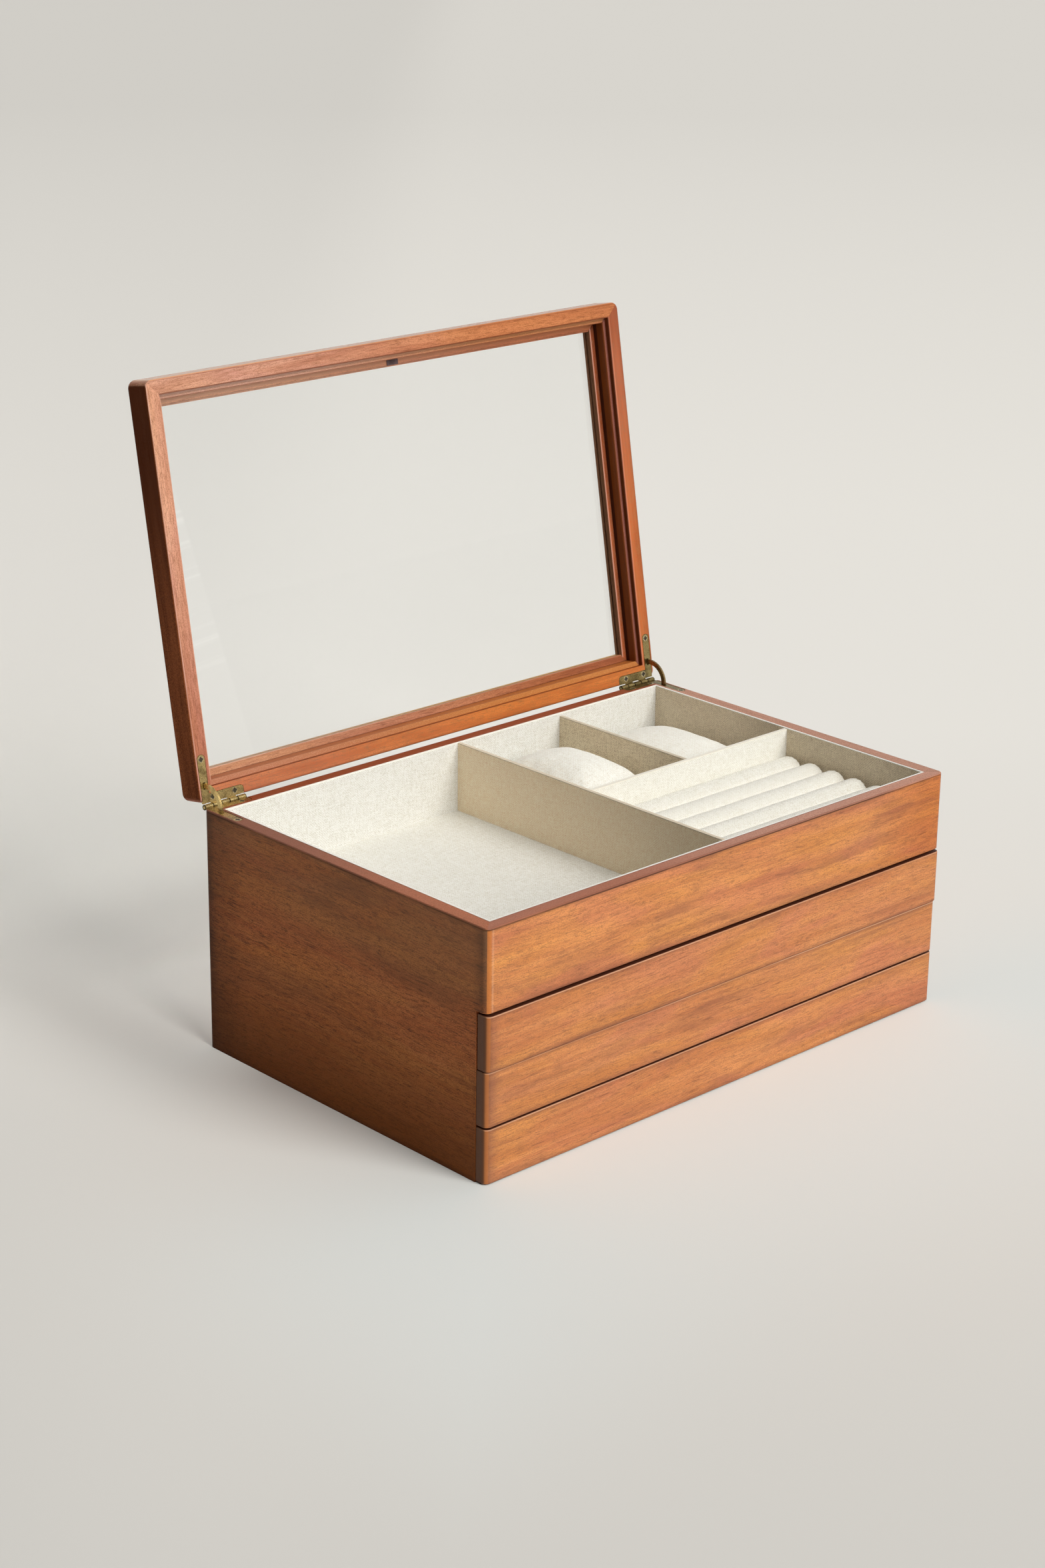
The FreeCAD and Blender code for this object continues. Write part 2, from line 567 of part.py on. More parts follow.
def drawer(index, name):
    """One drawer, drawn where it stands; the shift is how far it is ajar."""
    node = f"drawer_{name}"
    shift = "-dims.top_drawer_ajar" if index == 0 else "0"
    low = f"({RAIL_BOTTOM} - {' - '.join(GAPS[:index + 1])} - {index + 1} * {FRONT_HEIGHT})"
    keep(f"{node}_front", front_board(node, low, shift))

    inside = f"({DRAWER_X} - dims.drawer_wall)"
    front_y = f"({FRONTS_BACK} - dims.front_seat + ({shift}))"
    back_y = f"({INNER_BACK} - dims.drawer_back_clear + ({shift}))"
    lined_back = f"({back_y} - dims.drawer_wall)"
    side_low = f"({low} + {SIDE_LIFT})"
    side_high = f"({side_low} + {SIDE_HEIGHT})"
    bottom_low = f"({side_low} + dims.drawer_bottom_lift)"
    bottom_high = f"({bottom_low} + dims.drawer_bottom)"
    runner_low = f"({side_low} + dims.runner_lift)"
    runner_high = f"({runner_low} + dims.runner_height)"
    runner_front = f"({FRONTS_BACK} + dims.runner_front)"
    bottom_x = f"({inside} + dims.drawer_groove)"

    blank = span(f"{node}_side_blank", (f"-{DRAWER_X}", f"-{inside}"),
                 (front_y, back_y), (side_low, side_high))
    groove = span(f"{node}_runner_groove",
                  (f"-{DRAWER_X}", f"-{INNER_X} + dims.drawer_clear + dims.runner_bite"),
                  (f"{runner_front} - dims.drawer_back_clear + ({shift})", back_y),
                  (f"{runner_low} - 2 * dims.runner_clear", f"{runner_high} + dims.runner_clear"))
    slot = span(f"{node}_bottom_slot", (f"-{bottom_x}", bottom_x),
                (front_y, back_y), (bottom_low, bottom_high))
    side = cut(f"{node}_side", blank, [groove, slot])
    keep(f"{node}_side_left", side)
    keep(f"{node}_side_right", mirrored(f"{node}_side_mirror", side))
    keep(f"{node}_back", span(f"{node}_back_board", (f"-{inside}", inside),
                              (lined_back, back_y), (bottom_high, side_high)))
    keep(f"{node}_bottom", span(f"{node}_bottom_board", (f"-{bottom_x}", bottom_x),
                                (front_y, back_y), (bottom_low, bottom_high)))

    lining_top = f"({side_high} - dims.lining_drop)"
    card = "dims.drawer_lining"
    outside = span(f"{node}_lining_blank", (f"-{inside}", inside), (front_y, lined_back),
                   (bottom_high, lining_top))
    hollow = span(f"{node}_lining_hollow", (f"-{inside} + {card}", f"{inside} - {card}"),
                  (f"{front_y} + {card}", f"{lined_back} - {card}"),
                  (f"{bottom_high} + {card}", f"{lining_top} + {card}"))
    keep(f"{node}_lining", cut(f"{node}_lining_tray", outside, [hollow]))

    runner_x = f"(-{INNER_X} + dims.drawer_clear + dims.runner_bite - dims.runner_clear)"
    runner_rows.append(span(f"{node}_runner", (f"-{INNER_X}", runner_x),
                            (runner_front, f"{INNER_BACK} - dims.runner_back"),
                            (runner_low, runner_high)))


for index, name in enumerate(DRAWER_NAMES):
    drawer(index, name)
runners_left = together("runners", runner_rows)
keep("drawer_runners_left", runners_left)
keep("drawer_runners_right", mirrored("runners_mirror", runners_left))


# ---------------------------------------------------------------- the lid
# The lid is drawn shut about its hinge axis, then turned open.  A lip at the top of
# the frame carries the pane, and mitred beads hold it from below.
def lid_rect(offset):
    back = f"-{AXIS_BEHIND} - ({offset})"
    front = f"-{AXIS_BEHIND} - dims.case_depth - dims.lid_lip + ({offset})"
    return Rect(f"-{HALF_W} + ({offset})", f"{HALF_W} - ({offset})", front, back)


def lid_level(depth):
    return f"({LID_FACE_Z} + ({depth}))"


def open_lid(piece):
    """Hang a piece that is drawn about the hinge axis on the open lid."""
    piece.Placement = FreeCAD.Placement(FreeCAD.Vector(), FreeCAD.Rotation(-ACROSS, START_ANGLE))
    piece.setExpression("Placement.Rotation.Angle", "dims.lid_open_angle")
    return place(piece, "0", AXIS_Y, AXIS_Z)


REBATE = "dims.lid_face + dims.lid_step"
OPENING = f"{REBATE} + dims.bead_width"
LIP_LOW = "dims.lid_thickness - dims.lip_thickness"
GLASS_LOW = f"{LIP_LOW} - dims.glass_thickness"
BEAD_LOW = f"{GLASS_LOW} - dims.bead_thickness"
LAYERS = (("dims.lid_face", "0", "dims.lid_step_depth"),
          (REBATE, "dims.lid_step_depth", LIP_LOW),
          (OPENING, LIP_LOW, "dims.lid_thickness"))


def lid_envelope():
    """The outside of the lid, with rounded corners and edges."""
    body = new_body("lid_envelope")
    blank = pad(body, "lid_blank", corners(lid_rect("0")), lid_level("0"),
                lid_level("dims.lid_thickness"))
    doc.recompute()
    low = value(LID_FACE_Z)
    high = value(lid_level("dims.lid_thickness"))
    rounded = fillet(body, "lid_corners", blank, "dims.lid_corner", upright)
    top = fillet(body, "lid_top", rounded, "dims.lid_top_round",
                 lambda box: level_at(box, high))
    fillet(body, "lid_arris", top, "dims.edge_ease", lambda box: level_at(box, low))
    return body


lid_shape = lid_envelope()
lid_mortise = joined("lid_mortise", hinge_mortise(
    "lid_mortise", f"{LID_FACE_Z} - dims.cut_over", f"{LID_FACE_Z} + dims.leaf_thickness",
    f"{LID_FACE_Z} - dims.cut_over", STAY_REACH))
lid_mortise_right = mirrored("lid_mortise_right", lid_mortise)


def lid_member(name, side, tools):
    """One stepped frame member, built up in three layers."""
    body = new_body(name + "_stock")
    for number, (width, low, high) in enumerate(LAYERS, start=1):
        plan = mitre(side, lid_rect("0"), lid_rect(width))
        pad(body, f"{name}_layer_{number}", plan, lid_level(low), lid_level(high))
    rounded = common(name + "_rounded", body, lid_shape)
    return cut(name, rounded, tools) if tools else rounded


keep("lid_rail_front", open_lid(lid_member("lid_front", "front", [])))
keep("lid_rail_back", open_lid(lid_member("lid_back", "back", [lid_mortise, lid_mortise_right])))
stile = open_lid(lid_member("lid_left", "left", [lid_mortise]))
keep("lid_stile_left", stile)
keep("lid_stile_right", mirrored("lid_right", stile))

for side in ("front", "back", "left", "right"):
    bead = new_body(f"bead_{side}_strip")
    pad(bead, f"bead_{side}_pad", mitre(side, lid_rect(REBATE), lid_rect(OPENING)),
        lid_level(BEAD_LOW), lid_level(GLASS_LOW))
    keep(f"glazing_bead_{side}", open_lid(bead))

pane = new_body("pane")
pad(pane, "pane_sheet", corners(lid_rect(f"{REBATE} + dims.glass_clear")),
    lid_level(GLASS_LOW), lid_level(LIP_LOW))
keep("glass_pane", open_lid(pane))

BEAD_FRONT = f"-{AXIS_BEHIND} - dims.case_depth - dims.lid_lip + {REBATE}"
clip = new_body("clip")
clip_middle = f"{BEAD_FRONT} + dims.bead_width / 2"
pad(clip, "clip_plate",
    corners(Rect("dims.clip_offset - dims.clip_width / 2", "dims.clip_offset + dims.clip_width / 2",
                 f"{clip_middle} - dims.clip_depth / 2", f"{clip_middle} + dims.clip_depth / 2")),
    lid_level(f"{BEAD_LOW} - dims.clip_thickness"), lid_level(BEAD_LOW))
keep("glass_clip", open_lid(clip))

# ---------------------------------------------------------------- the hinges
# Two quadrant hinges.  A leaf is an L of brass: its rear part carries knuckles, and its
# arm runs along the side.  The curved stay passes through a slot in both arms.
KNUCKLE = f"(dims.leaf_length / {KNUCKLE_COUNT})"
SCREWS = (("near", f"{LEAF_X} + dims.screw_near", "-dims.screw_line"),
          ("far", f"{LEAF_X} + dims.leaf_length - dims.screw_far", "-dims.screw_line"),
          ("arm", ARM_X, "-dims.arm_reach + dims.arm_width / 2"))


def head_cone(name, x, y, low, head_down):
    """The countersunk head of a screw, as deep as its leaf is thick."""
    cone = doc.addObject("Part::Cone", name)
    first, second = "dims.screw_radius", "dims.screw_head_radius"
    if head_down:
        first, second = second, first
    bind(cone, Radius1=first, Radius2=second, Height="dims.leaf_thickness")
    return place(cone, x, y, low)


def leaf(name, low, knuckles, bore, head_down):
    """One hinge leaf, drawn about the hinge axis."""
    high = f"({low} + dims.leaf_thickness)"
    plate = (low, high)
    back_edge = "-dims.knuckle_radius - dims.barrel_room"
    pieces = [*leaf_rear(name, "0", back_edge, low, high),
              span(name + "_arm", (LEAF_X, f"{LEAF_X} + dims.arm_width"),
                   ("-dims.arm_reach + dims.arm_width / 2", back_edge), plate),
              rod(name + "_arm_end", (ARM_X, "-dims.arm_reach + dims.arm_width / 2", low),
                  "dims.arm_width / 2", "dims.leaf_thickness", -DOWN)]
    for i in knuckles:
        start = f"{LEAF_X} + {i} * {KNUCKLE} + dims.knuckle_play / 2"
        stop = f"{LEAF_X} + {i + 1} * {KNUCKLE} - dims.knuckle_play / 2"
        pieces.append(rod(f"{name}_knuckle_{i}", (start, "0", "0"), "dims.knuckle_radius",
                          f"({stop}) - ({start})"))
        pieces.append(span(f"{name}_tongue_{i}", (start, stop),
                           (f"{back_edge} - dims.leaf_play", "-dims.pin_radius / 2"), plate))
    tools = [rod(name + "_bore", (LEAF_X, "0", "0"), bore, "dims.leaf_length"),
             span(name + "_slot",
                  (f"{ARM_X} - dims.stay_thickness / 2 - dims.stay_play",
                   f"{ARM_X} + dims.stay_thickness / 2 + dims.stay_play"),
                  ("-dims.stay_radius - dims.stay_width / 2 - 2 * dims.stay_play",
                   "-dims.stay_radius + dims.stay_width / 2 + 3 * dims.stay_play"),
                  (f"{low} - dims.cut_over", f"{high} + dims.cut_over"))]
    for spot, x, y in SCREWS:
        tools.append(head_cone(f"{name}_sink_{spot}", x, y, low, head_down))
    return cut(name, joined(name + "_stock", pieces), tools)


def screw(name, x, y, low, head_down):
    """A countersunk wood screw with a cross recess."""
    if head_down:
        face = low
        recess = (low, f"{low} + dims.recess_depth")
        shank_start = f"{low} + dims.leaf_thickness"
        axis = -DOWN
    else:
        face = f"({low} + dims.leaf_thickness)"
        recess = (f"{face} - dims.recess_depth", face)
        shank_start = low
        axis = DOWN
    shank = rod(name + "_shank", (x, y, shank_start), "dims.screw_radius",
                "dims.screw_length - dims.leaf_thickness", axis)
    stock = joined(name + "_stock", [head_cone(name + "_head", x, y, low, head_down), shank])
    long_way, short_way = "dims.recess_length / 2", "dims.recess_width / 2"
    slots = [span(f"{name}_slot_{i}", (f"{x} - {a}", f"{x} + {a}"), (f"{y} - {b}", f"{y} + {b}"),
                  recess)
             for i, (a, b) in enumerate(((long_way, short_way), (short_way, long_way)))]
    return cut(name, stock, slots)


def sector(name, radius):
    """A slice of a disc on the hinge axis, from level with the axis round to the lid."""
    disc = doc.addObject("Part::Cylinder", name)
    turn = FreeCAD.Rotation(FreeCAD.Vector(0, -1, 0), FreeCAD.Vector(0, 0, 1), -ACROSS, "ZXY")
    disc.Placement = FreeCAD.Placement(FreeCAD.Vector(), turn)
    bind(disc, Radius=radius, Height="dims.stay_thickness",
         Angle="dims.lid_open_angle + dims.stay_tail_case + dims.stay_tail_lid")
    return place(disc, f"{ARM_X} + dims.stay_thickness / 2")


def stop_pin(name, angle):
    """A pin through the stay, too wide to pass the leaf's slot."""
    return rod(name, (f"{ARM_X} - dims.stay_pin_length / 2",
                      f"-dims.stay_radius * cos(({angle}) * 1deg)",
                      f"dims.stay_radius * sin(({angle}) * 1deg)"),
               "dims.stay_pin_radius", "dims.stay_pin_length")


def stay():
    """The curved stay with its two stop pins, drawn about the hinge axis."""
    disc = sector("stay_disc", "dims.stay_radius + dims.stay_width / 2")
    core = rod("stay_core", (f"{ARM_X} - dims.stay_thickness", "0", "0"),
               "dims.stay_radius - dims.stay_width / 2", "2 * dims.stay_thickness")
    strip = cut("stay_strip", disc, [core])
    tail = "dims.stay_tail_case"
    lower = stop_pin("stay_pin_lower", f"{tail} - dims.stay_pin_case")
    upper = stop_pin("stay_pin_upper", f"{tail} + dims.lid_open_angle + dims.stay_pin_lid")
    whole = joined("stay_left", [strip, lower, upper])
    whole.Placement = FreeCAD.Placement(FreeCAD.Vector(), FreeCAD.Rotation(ACROSS, START_ANGLE))
    whole.setExpression("Placement.Rotation.Angle", tail)
    return place(whole, "0", AXIS_Y, AXIS_Z)


def both_hands(piece, left_label, right_label):
    keep(left_label, piece)
    keep(right_label, mirrored(piece.Name + "_mirror", piece))


case_leaf = leaf("case_leaf", CASE_LEAF_LOW, CASE_KNUCKLES, "dims.pin_radius", False)
both_hands(place(case_leaf, "0", AXIS_Y, AXIS_Z), "hinge_left_case_leaf", "hinge_right_case_leaf")
lid_leaf = leaf("lid_leaf", LID_FACE_Z, LID_KNUCKLES, "dims.pin_radius + dims.pin_play", True)
both_hands(open_lid(lid_leaf), "hinge_left_lid_leaf", "hinge_right_lid_leaf")
pin = rod("hinge_pin", (f"{LEAF_X} + dims.knuckle_play / 2", AXIS_Y, AXIS_Z), "dims.pin_radius",
          "dims.leaf_length - dims.knuckle_play")
both_hands(pin, "hinge_left_pin", "hinge_right_pin")
both_hands(stay(), "stay_left", "stay_right")

case_screws = [screw(f"case_screw_{spot}", x, y, CASE_LEAF_LOW, False) for spot, x, y in SCREWS]
case_screws = place(together("case_screws_left", case_screws), "0", AXIS_Y, AXIS_Z)
keep("case_hinge_screws", together("case_screws", [case_screws,
                                                   mirrored("case_screws_right", case_screws)]))
lid_screws = [screw(f"lid_screw_{spot}", x, y, LID_FACE_Z, True) for spot, x, y in SCREWS]
lid_screws = open_lid(together("lid_screws_left", lid_screws))
keep("lid_hinge_screws", together("lid_screws", [lid_screws,
                                                 mirrored("lid_screws_right", lid_screws)]))

# ---------------------------------------------------------------- checks and files
doc.recompute()
for thing in doc.Objects:
    if "Invalid" in thing.State or "Error" in thing.State:
        raise RuntimeError(f"{thing.Name} failed: {thing.State}")
labels = [piece.Label for piece in kept]
if len(set(labels)) != len(labels):
    raise RuntimeError("two sub-parts share a label")
for piece in kept:
    if piece.Shape.isNull() or not piece.Shape.isValid() or not piece.Shape.Solids:
        raise RuntimeError(f"{piece.Label} has no valid shape")

os.makedirs("parts", exist_ok=True)
for piece in kept:
    piece.Shape.exportStep(f"parts/{piece.Label}.step")
    box = piece.Shape.BoundBox
    print(f"{piece.Label:24s} {len(piece.Shape.Solids)} solid(s) {piece.Shape.Volume:10.1f} mm3  "
          f"x {box.XMin:.2f}..{box.XMax:.2f}  y {box.YMin:.2f}..{box.YMax:.2f}  "
          f"z {box.ZMin:.2f}..{box.ZMax:.2f}")
print(len(kept), "sub-parts written")
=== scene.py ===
import math
import random
from functools import reduce

import bmesh
import bpy
import numpy as np
from mathutils import Matrix, Vector


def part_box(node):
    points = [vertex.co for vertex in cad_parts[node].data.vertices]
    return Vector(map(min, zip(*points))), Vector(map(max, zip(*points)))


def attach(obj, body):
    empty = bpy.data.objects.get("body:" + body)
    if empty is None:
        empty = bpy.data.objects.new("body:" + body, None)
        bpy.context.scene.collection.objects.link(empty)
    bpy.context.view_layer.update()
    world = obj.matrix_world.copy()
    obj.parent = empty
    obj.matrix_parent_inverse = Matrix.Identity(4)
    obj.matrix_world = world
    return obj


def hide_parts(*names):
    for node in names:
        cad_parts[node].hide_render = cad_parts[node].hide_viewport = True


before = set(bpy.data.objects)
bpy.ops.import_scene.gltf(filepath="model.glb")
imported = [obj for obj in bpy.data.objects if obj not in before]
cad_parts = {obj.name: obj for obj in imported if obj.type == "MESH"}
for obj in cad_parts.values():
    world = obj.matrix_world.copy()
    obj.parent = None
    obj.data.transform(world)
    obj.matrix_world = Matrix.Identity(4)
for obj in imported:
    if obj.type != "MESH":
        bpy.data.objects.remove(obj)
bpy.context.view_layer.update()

# ---------- camera
# A long lens at the box's front left, a little above it, turned a hair about its own
# axis.  The view is upright, so the sensor's 36 mm lies along its height.
CAMERA_PLACE = (-0.93316, -0.9461, 0.60184)
CAMERA_YAW, CAMERA_PITCH, CAMERA_ROLL = -0.7573624, 0.3458001, 0.0128863
FOCAL_LENGTH, SENSOR = 68.4623, 36.0


def placed(name, data):
    """A new object, put into the scene."""
    thing = bpy.data.objects.new(name, data)
    bpy.context.scene.collection.objects.link(thing)
    return thing


lens = bpy.data.cameras.new("camera")
lens.lens = FOCAL_LENGTH
lens.sensor_width = SENSOR
lens.clip_start, lens.clip_end = 0.01, 100.0
camera = placed("camera", lens)
camera.matrix_world = (Matrix.Translation(CAMERA_PLACE)
                       @ Matrix.Rotation(CAMERA_YAW, 4, "Z")
                       @ Matrix.Rotation(math.pi / 2 - CAMERA_PITCH, 4, "X")
                       @ Matrix.Rotation(CAMERA_ROLL, 4, "Z"))
bpy.context.scene.camera = camera
bpy.context.scene.view_settings.view_transform = "Standard"

# ---------- studio
# A sheet of pale paper with no horizon, one broad soft lamp high at the front and a little
# to the right, and a dim room that is darkest at the left.  Paper and room are mixed from
# readings, as every finish below is.
FLOOR_REACH = 40.0
FLOOR_NEAR, FLOOR_FAR = -0.5, 3.5
# Painted light: the paper's tone falls off from the middle, as the lamp's light would.
FLOOR_FALL = ((0.0, 0.8), (0.09, 0.9), (0.24, 1.0), (0.38, 1.0), (0.62, 0.95), (1.0, 0.87))
CASE_SIDE, CASE_BACK = 0.15, 0.1
PAPER = (0.86, 0.838, 0.79)
# Painted shade: darker, cooler paper near the box's front and sides, which also offsets the wood's warm
# bounce light.
COOL_PAPER, COOL_REACH, COOL_END = (0.755, 0.787, 0.768), 0.22, (-0.13, 0.02)
# Painted shade: the paper is dimmer towards the left.
LEFT_DIM, LEFT_END = (0.925, 0.925, 0.925), (-0.34, -0.12)
# Painted light: a glow that the camera sees where the box's shadow lies behind it.
SHADE_LIFT = (0.34, 0.335, 0.31)
SHADE_SIDES, SHADE_NEAR, SHADE_FAR = (0.185, 0.115), (0.04, 0.09), (0.27, 0.15)
BLACK = (0.0, 0.0, 0.0)
LAMP_TURN, LAMP_RISE, LAMP_SPREAD = math.radians(6.0), math.radians(39.0), math.radians(38.0)
LAMP_STRENGTH, LAMP_COLOUR = 3.2, (1.0, 0.985, 0.955)
ROOM_LEFT, ROOM_RIGHT = -0.05, 0.6
ROOM_COLOUR, ROOM_SEEN = (0.97, 0.98, 1.0), (0.73, 0.7, 0.65)


class Reading:
    """One output of a shader node, which takes part in sums."""

    def __init__(self, nodes, socket):
        self.nodes = nodes
        self.socket = socket

    def sum(self, operation, *values):
        return self.nodes.node("Math", {"operation": operation}, dict(enumerate(values)))

    def __add__(self, other):
        return self.sum("ADD", self, other)

    def __sub__(self, other):
        return self.sum("SUBTRACT", self, other)

    def __rsub__(self, other):
        return self.sum("SUBTRACT", other, self)

    def __mul__(self, other):
        return self.sum("MULTIPLY", self, other)

    def __abs__(self):
        return self.sum("ABSOLUTE", self)

    __radd__ = __add__
    __rmul__ = __mul__

    def most(self, other):
        return self.sum("MAXIMUM", self, other)

    def least(self, other):
        return self.sum("MINIMUM", self, other)

    def wave(self):
        return self.sum("SINE", self)

    def ramp(self, low, high, start=0.0, stop=1.0, kind="SMOOTHSTEP"):
        """Goes from start to stop while this reading goes from low to high."""
        values = {"Value": self, "From Min": low, "From Max": high, "To Min": start, "To Max": stop}
        return self.nodes.node("MapRange", {"interpolation_type": kind}, values)


class Nodes:
    """A tree of nodes in the making."""

    def __init__(self, tree):
        self.tree = tree

    def node(self, kind, settings, values, output=0):
        """Adds a node: its settings first, then its sockets; gives back one output."""
        made = self.tree.nodes.new("ShaderNode" + kind)
        for word, value in settings.items():
            if word == "stops":
                while len(made.color_ramp.elements) < len(value):
                    made.color_ramp.elements.new(1.0)
                for stop, (place, colour) in zip(made.color_ramp.elements, value):
                    stop.position = place
                    stop.color = (*colour, 1.0)
            else:
                setattr(made, word, value)
        for key, value in values.items():
            socket = made.inputs[key]
            if isinstance(value, Reading):
                self.tree.links.new(value.socket, socket)
            elif socket.type == "RGBA" and len(value) == 3:
                socket.default_value = (*value, 1.0)
            else:
                socket.default_value = value
        return Reading(self, made.outputs[output])

    def looked_at(self):
        """1 for what the camera, a mirror or a glass sees, 0 for light on its way to the box."""
        kinds = ("Is Camera Ray", "Is Glossy Ray", "Is Transmission Ray")
        return reduce(Reading.most, [self.node("LightPath", {}, {}, kind) for kind in kinds])

    def show(self, mixed, ending="Material Output"):
        """Ties mixed shaders to the tree's surface."""
        self.tree.links.new(mixed.socket, self.tree.nodes[ending].inputs["Surface"])


class Finish(Nodes):
    """A material in the making, on one Principled shader."""

    def __init__(self, name, fixed):
        self.material = bpy.data.materials.new(name)
        self.material.use_nodes = True
        super().__init__(self.material.node_tree)
        self.shader = self.tree.nodes["Principled BSDF"]
        for socket, value in fixed.items():
            self.shader.inputs[socket].default_value = value

    def place(self):
        """Where the point lies on the object, in metres."""
        return self.node("TexCoord", {}, {}, "Object")

    def axes(self, place):
        """The three numbers of a place."""
        return [self.node("SeparateXYZ", {}, {0: place}, axis) for axis in "XYZ"]

    def joined(self, x, y, z):
        """Three numbers as a place."""
        return self.node("CombineXYZ", {}, {0: x, 1: y, 2: z})

    def noise(self, place, scale, detail=2.0, rough=0.5, warp=0.0):
        """Noise with a pitch of its own on each axis, given as cycles to the metre."""
        stretched = self.node("VectorMath", {"operation": "MULTIPLY"}, {0: place, 1: scale})
        values = {"Vector": stretched, "Scale": 1.0, "Detail": detail, "Roughness": rough,
                  "Distortion": warp}
        return self.node("TexNoise", {}, values)

    def mix(self, share, first, second, blend="MIX"):
        """A colour between two others."""
        settings = {"data_type": "RGBA", "blend_type": blend}
        return self.node("Mix", settings, {0: share, 6: first, 7: second}, 2)

    def bump(self, height, depth):
        """Relief from a height; depth is in metres."""
        return self.node("Bump", {}, {"Height": height, "Distance": depth, "Strength": 1.0})

    def feed(self, readings):
        """Ties the shader's sockets to readings."""
        for socket, reading in readings.items():
            self.tree.links.new(reading.socket, self.shader.inputs[socket])
        return self.material


def paper_finish():
    """Painted light: falls off from the middle, darker and cooler near the box, glows in its shadow."""
    paper = Finish("floor_paper", {"Roughness": 0.9, "Specular IOR Level": 0.1, "Emission Strength": 1.0})
    x, y, _ = paper.axes(paper.place())
    away = x * math.sin(-CAMERA_YAW) + y * math.cos(CAMERA_YAW)
    stops = [(at, (level, level, level)) for at, level in FLOOR_FALL]
    # Painted light: the paper's fall-off from the middle.
    fall = paper.node("ValToRGB", {"stops": stops}, {0: away.ramp(FLOOR_NEAR, FLOOR_FAR, kind="LINEAR")})
    colour = paper.mix(1.0, PAPER, fall, "MULTIPLY")
    aside = x * math.cos(CAMERA_YAW) + y * math.sin(CAMERA_YAW)
    # Painted shade towards the left.
    colour = paper.mix(aside.ramp(*LEFT_END, 1.0, 0.0), colour, LEFT_DIM, "MULTIPLY")
    from_case = (abs(x) - CASE_SIDE).most(abs(y) - CASE_BACK)
    # Painted shade near the box's front and sides.
    near = from_case.ramp(0.0, COOL_REACH, 1.0, 0.0) * y.ramp(*COOL_END, 1.0, 0.0)
    # Painted light: a glow in the box's shadow behind it, seen by the camera.
    behind = abs(x).ramp(*SHADE_SIDES) * y.ramp(*SHADE_FAR) * y.ramp(*SHADE_NEAR)
    return paper.feed({"Base Color": paper.mix(near, colour, COOL_PAPER),
                       "Emission Color": paper.mix(behind * paper.looked_at(), BLACK, SHADE_LIFT)})


sheet = bpy.data.meshes.new("floor")
corners = [(-1, -1), (1, -1), (1, 1), (-1, 1)]
sheet.from_pydata([(x * FLOOR_REACH, y * FLOOR_REACH, 0.0) for x, y in corners], [], [(0, 1, 2, 3)])
sheet.materials.append(paper_finish())
floor = placed("floor", sheet)

lamp = bpy.data.lights.new("window", "SUN")
lamp.energy, lamp.angle, lamp.color = LAMP_STRENGTH, LAMP_SPREAD, LAMP_COLOUR
to_lamp = Vector((math.sin(LAMP_TURN) * math.cos(LAMP_RISE), -math.cos(LAMP_TURN) * math.cos(LAMP_RISE),
                  math.sin(LAMP_RISE)))
placed("window", lamp).rotation_euler = to_lamp.to_track_quat("Z", "Y").to_euler()

world = bpy.data.worlds.new("room")
bpy.context.scene.world = world
world.use_nodes = True
room = Nodes(world.node_tree)
rightward = room.node("SeparateXYZ", {}, {0: room.node("TexCoord", {}, {}, "Generated")}, "X")
level = rightward.ramp(-1.0, 1.0, ROOM_LEFT, ROOM_RIGHT, "LINEAR")
lit = room.node("Background", {}, {"Color": ROOM_COLOUR, "Strength": level})
seen = room.node("Background", {}, {"Color": ROOM_SEEN})
room.show(room.node("MixShader", {}, {0: room.looked_at(), 1: lit, 2: seen}), "World Output")

# ---------- case panels
# Solid close-grained boards, mitred at the corners and stained orange brown, then toned
# darker by hand along the edges.  Their arrises are paler, worn and with painted highlights,
# and the gaps between boards carry painted shade.  The grain runs the long way of each
# board, and no two boards share a figure.
GRAIN_ALONG = {"X": (0, 1), "Y": (1, 0)}
END_TONE = {"X": 0.003, "Y": 0.009}
EDGE_TONE = 0.0028
RIM, ARRIS, BOTTOM_ARRIS = 0.0004, 0.0011, 0.00012
# Where each tone begins and ends, from a board's edge or end, or along it.
OUTER_EDGE, RIM_FADE = (0.0003, 0.0009), (-0.08, 0.06)
RAIL_END, NEAR_CORNER, FAR_CORNER = (0.0, 0.06), (0.0012, 0.0024), (0.0003, 0.0013)
GLOW_START, GLOW_END = (0.0019, 0.0026), (0.0036, 0.0026)
SIDE_HIGH, SIDE_LOW, SIDE_BACK = (0.06, 0.118), (0.07, 0.004), (0.0, 0.035)
TOP_HIGHLIGHT, DARK_TOP, END_GRAIN = 0.0006, 0.00015, (0.00015, 0.0007)
TONED_SHADED_END, RED_CORNER = (0.002, 0.0085), (0.0014, 0.002)
CLEAR_ROUGHNESS, WOOD_RELIEF = 0.22, 0.00004
SMOKE_SHARE, FLECK_SHARE = 0.48, 0.62
# amber and rust are the wood's two tones, umber its clouds, speck its pores and toner its
# flecks and toned edges.  deep multiplies one end; each other tone lies where it says.  The
# dark tone also paints shade in gaps and recesses, and the pale worn tone paints highlights.
STAIN = {"amber": (0.7, 0.285, 0.088), "rust": (0.5, 0.17, 0.056), "umber": (0.215, 0.078, 0.044),
         "speck": (0.2, 0.082, 0.038), "toner": (0.17, 0.056, 0.03), "deep": (0.89, 0.72, 0.52),
         "dark": (0.055, 0.014, 0.006), "rubbed": (0.74, 0.42, 0.25), "corner": (0.52, 0.165, 0.032),
         "rim": (0.41, 0.142, 0.077), "far_rim": (0.59, 0.29, 0.2)}
BACK_STAIN = dict(STAIN, rim=(0.235, 0.047, 0.012), far_rim=(0.26, 0.058, 0.02))
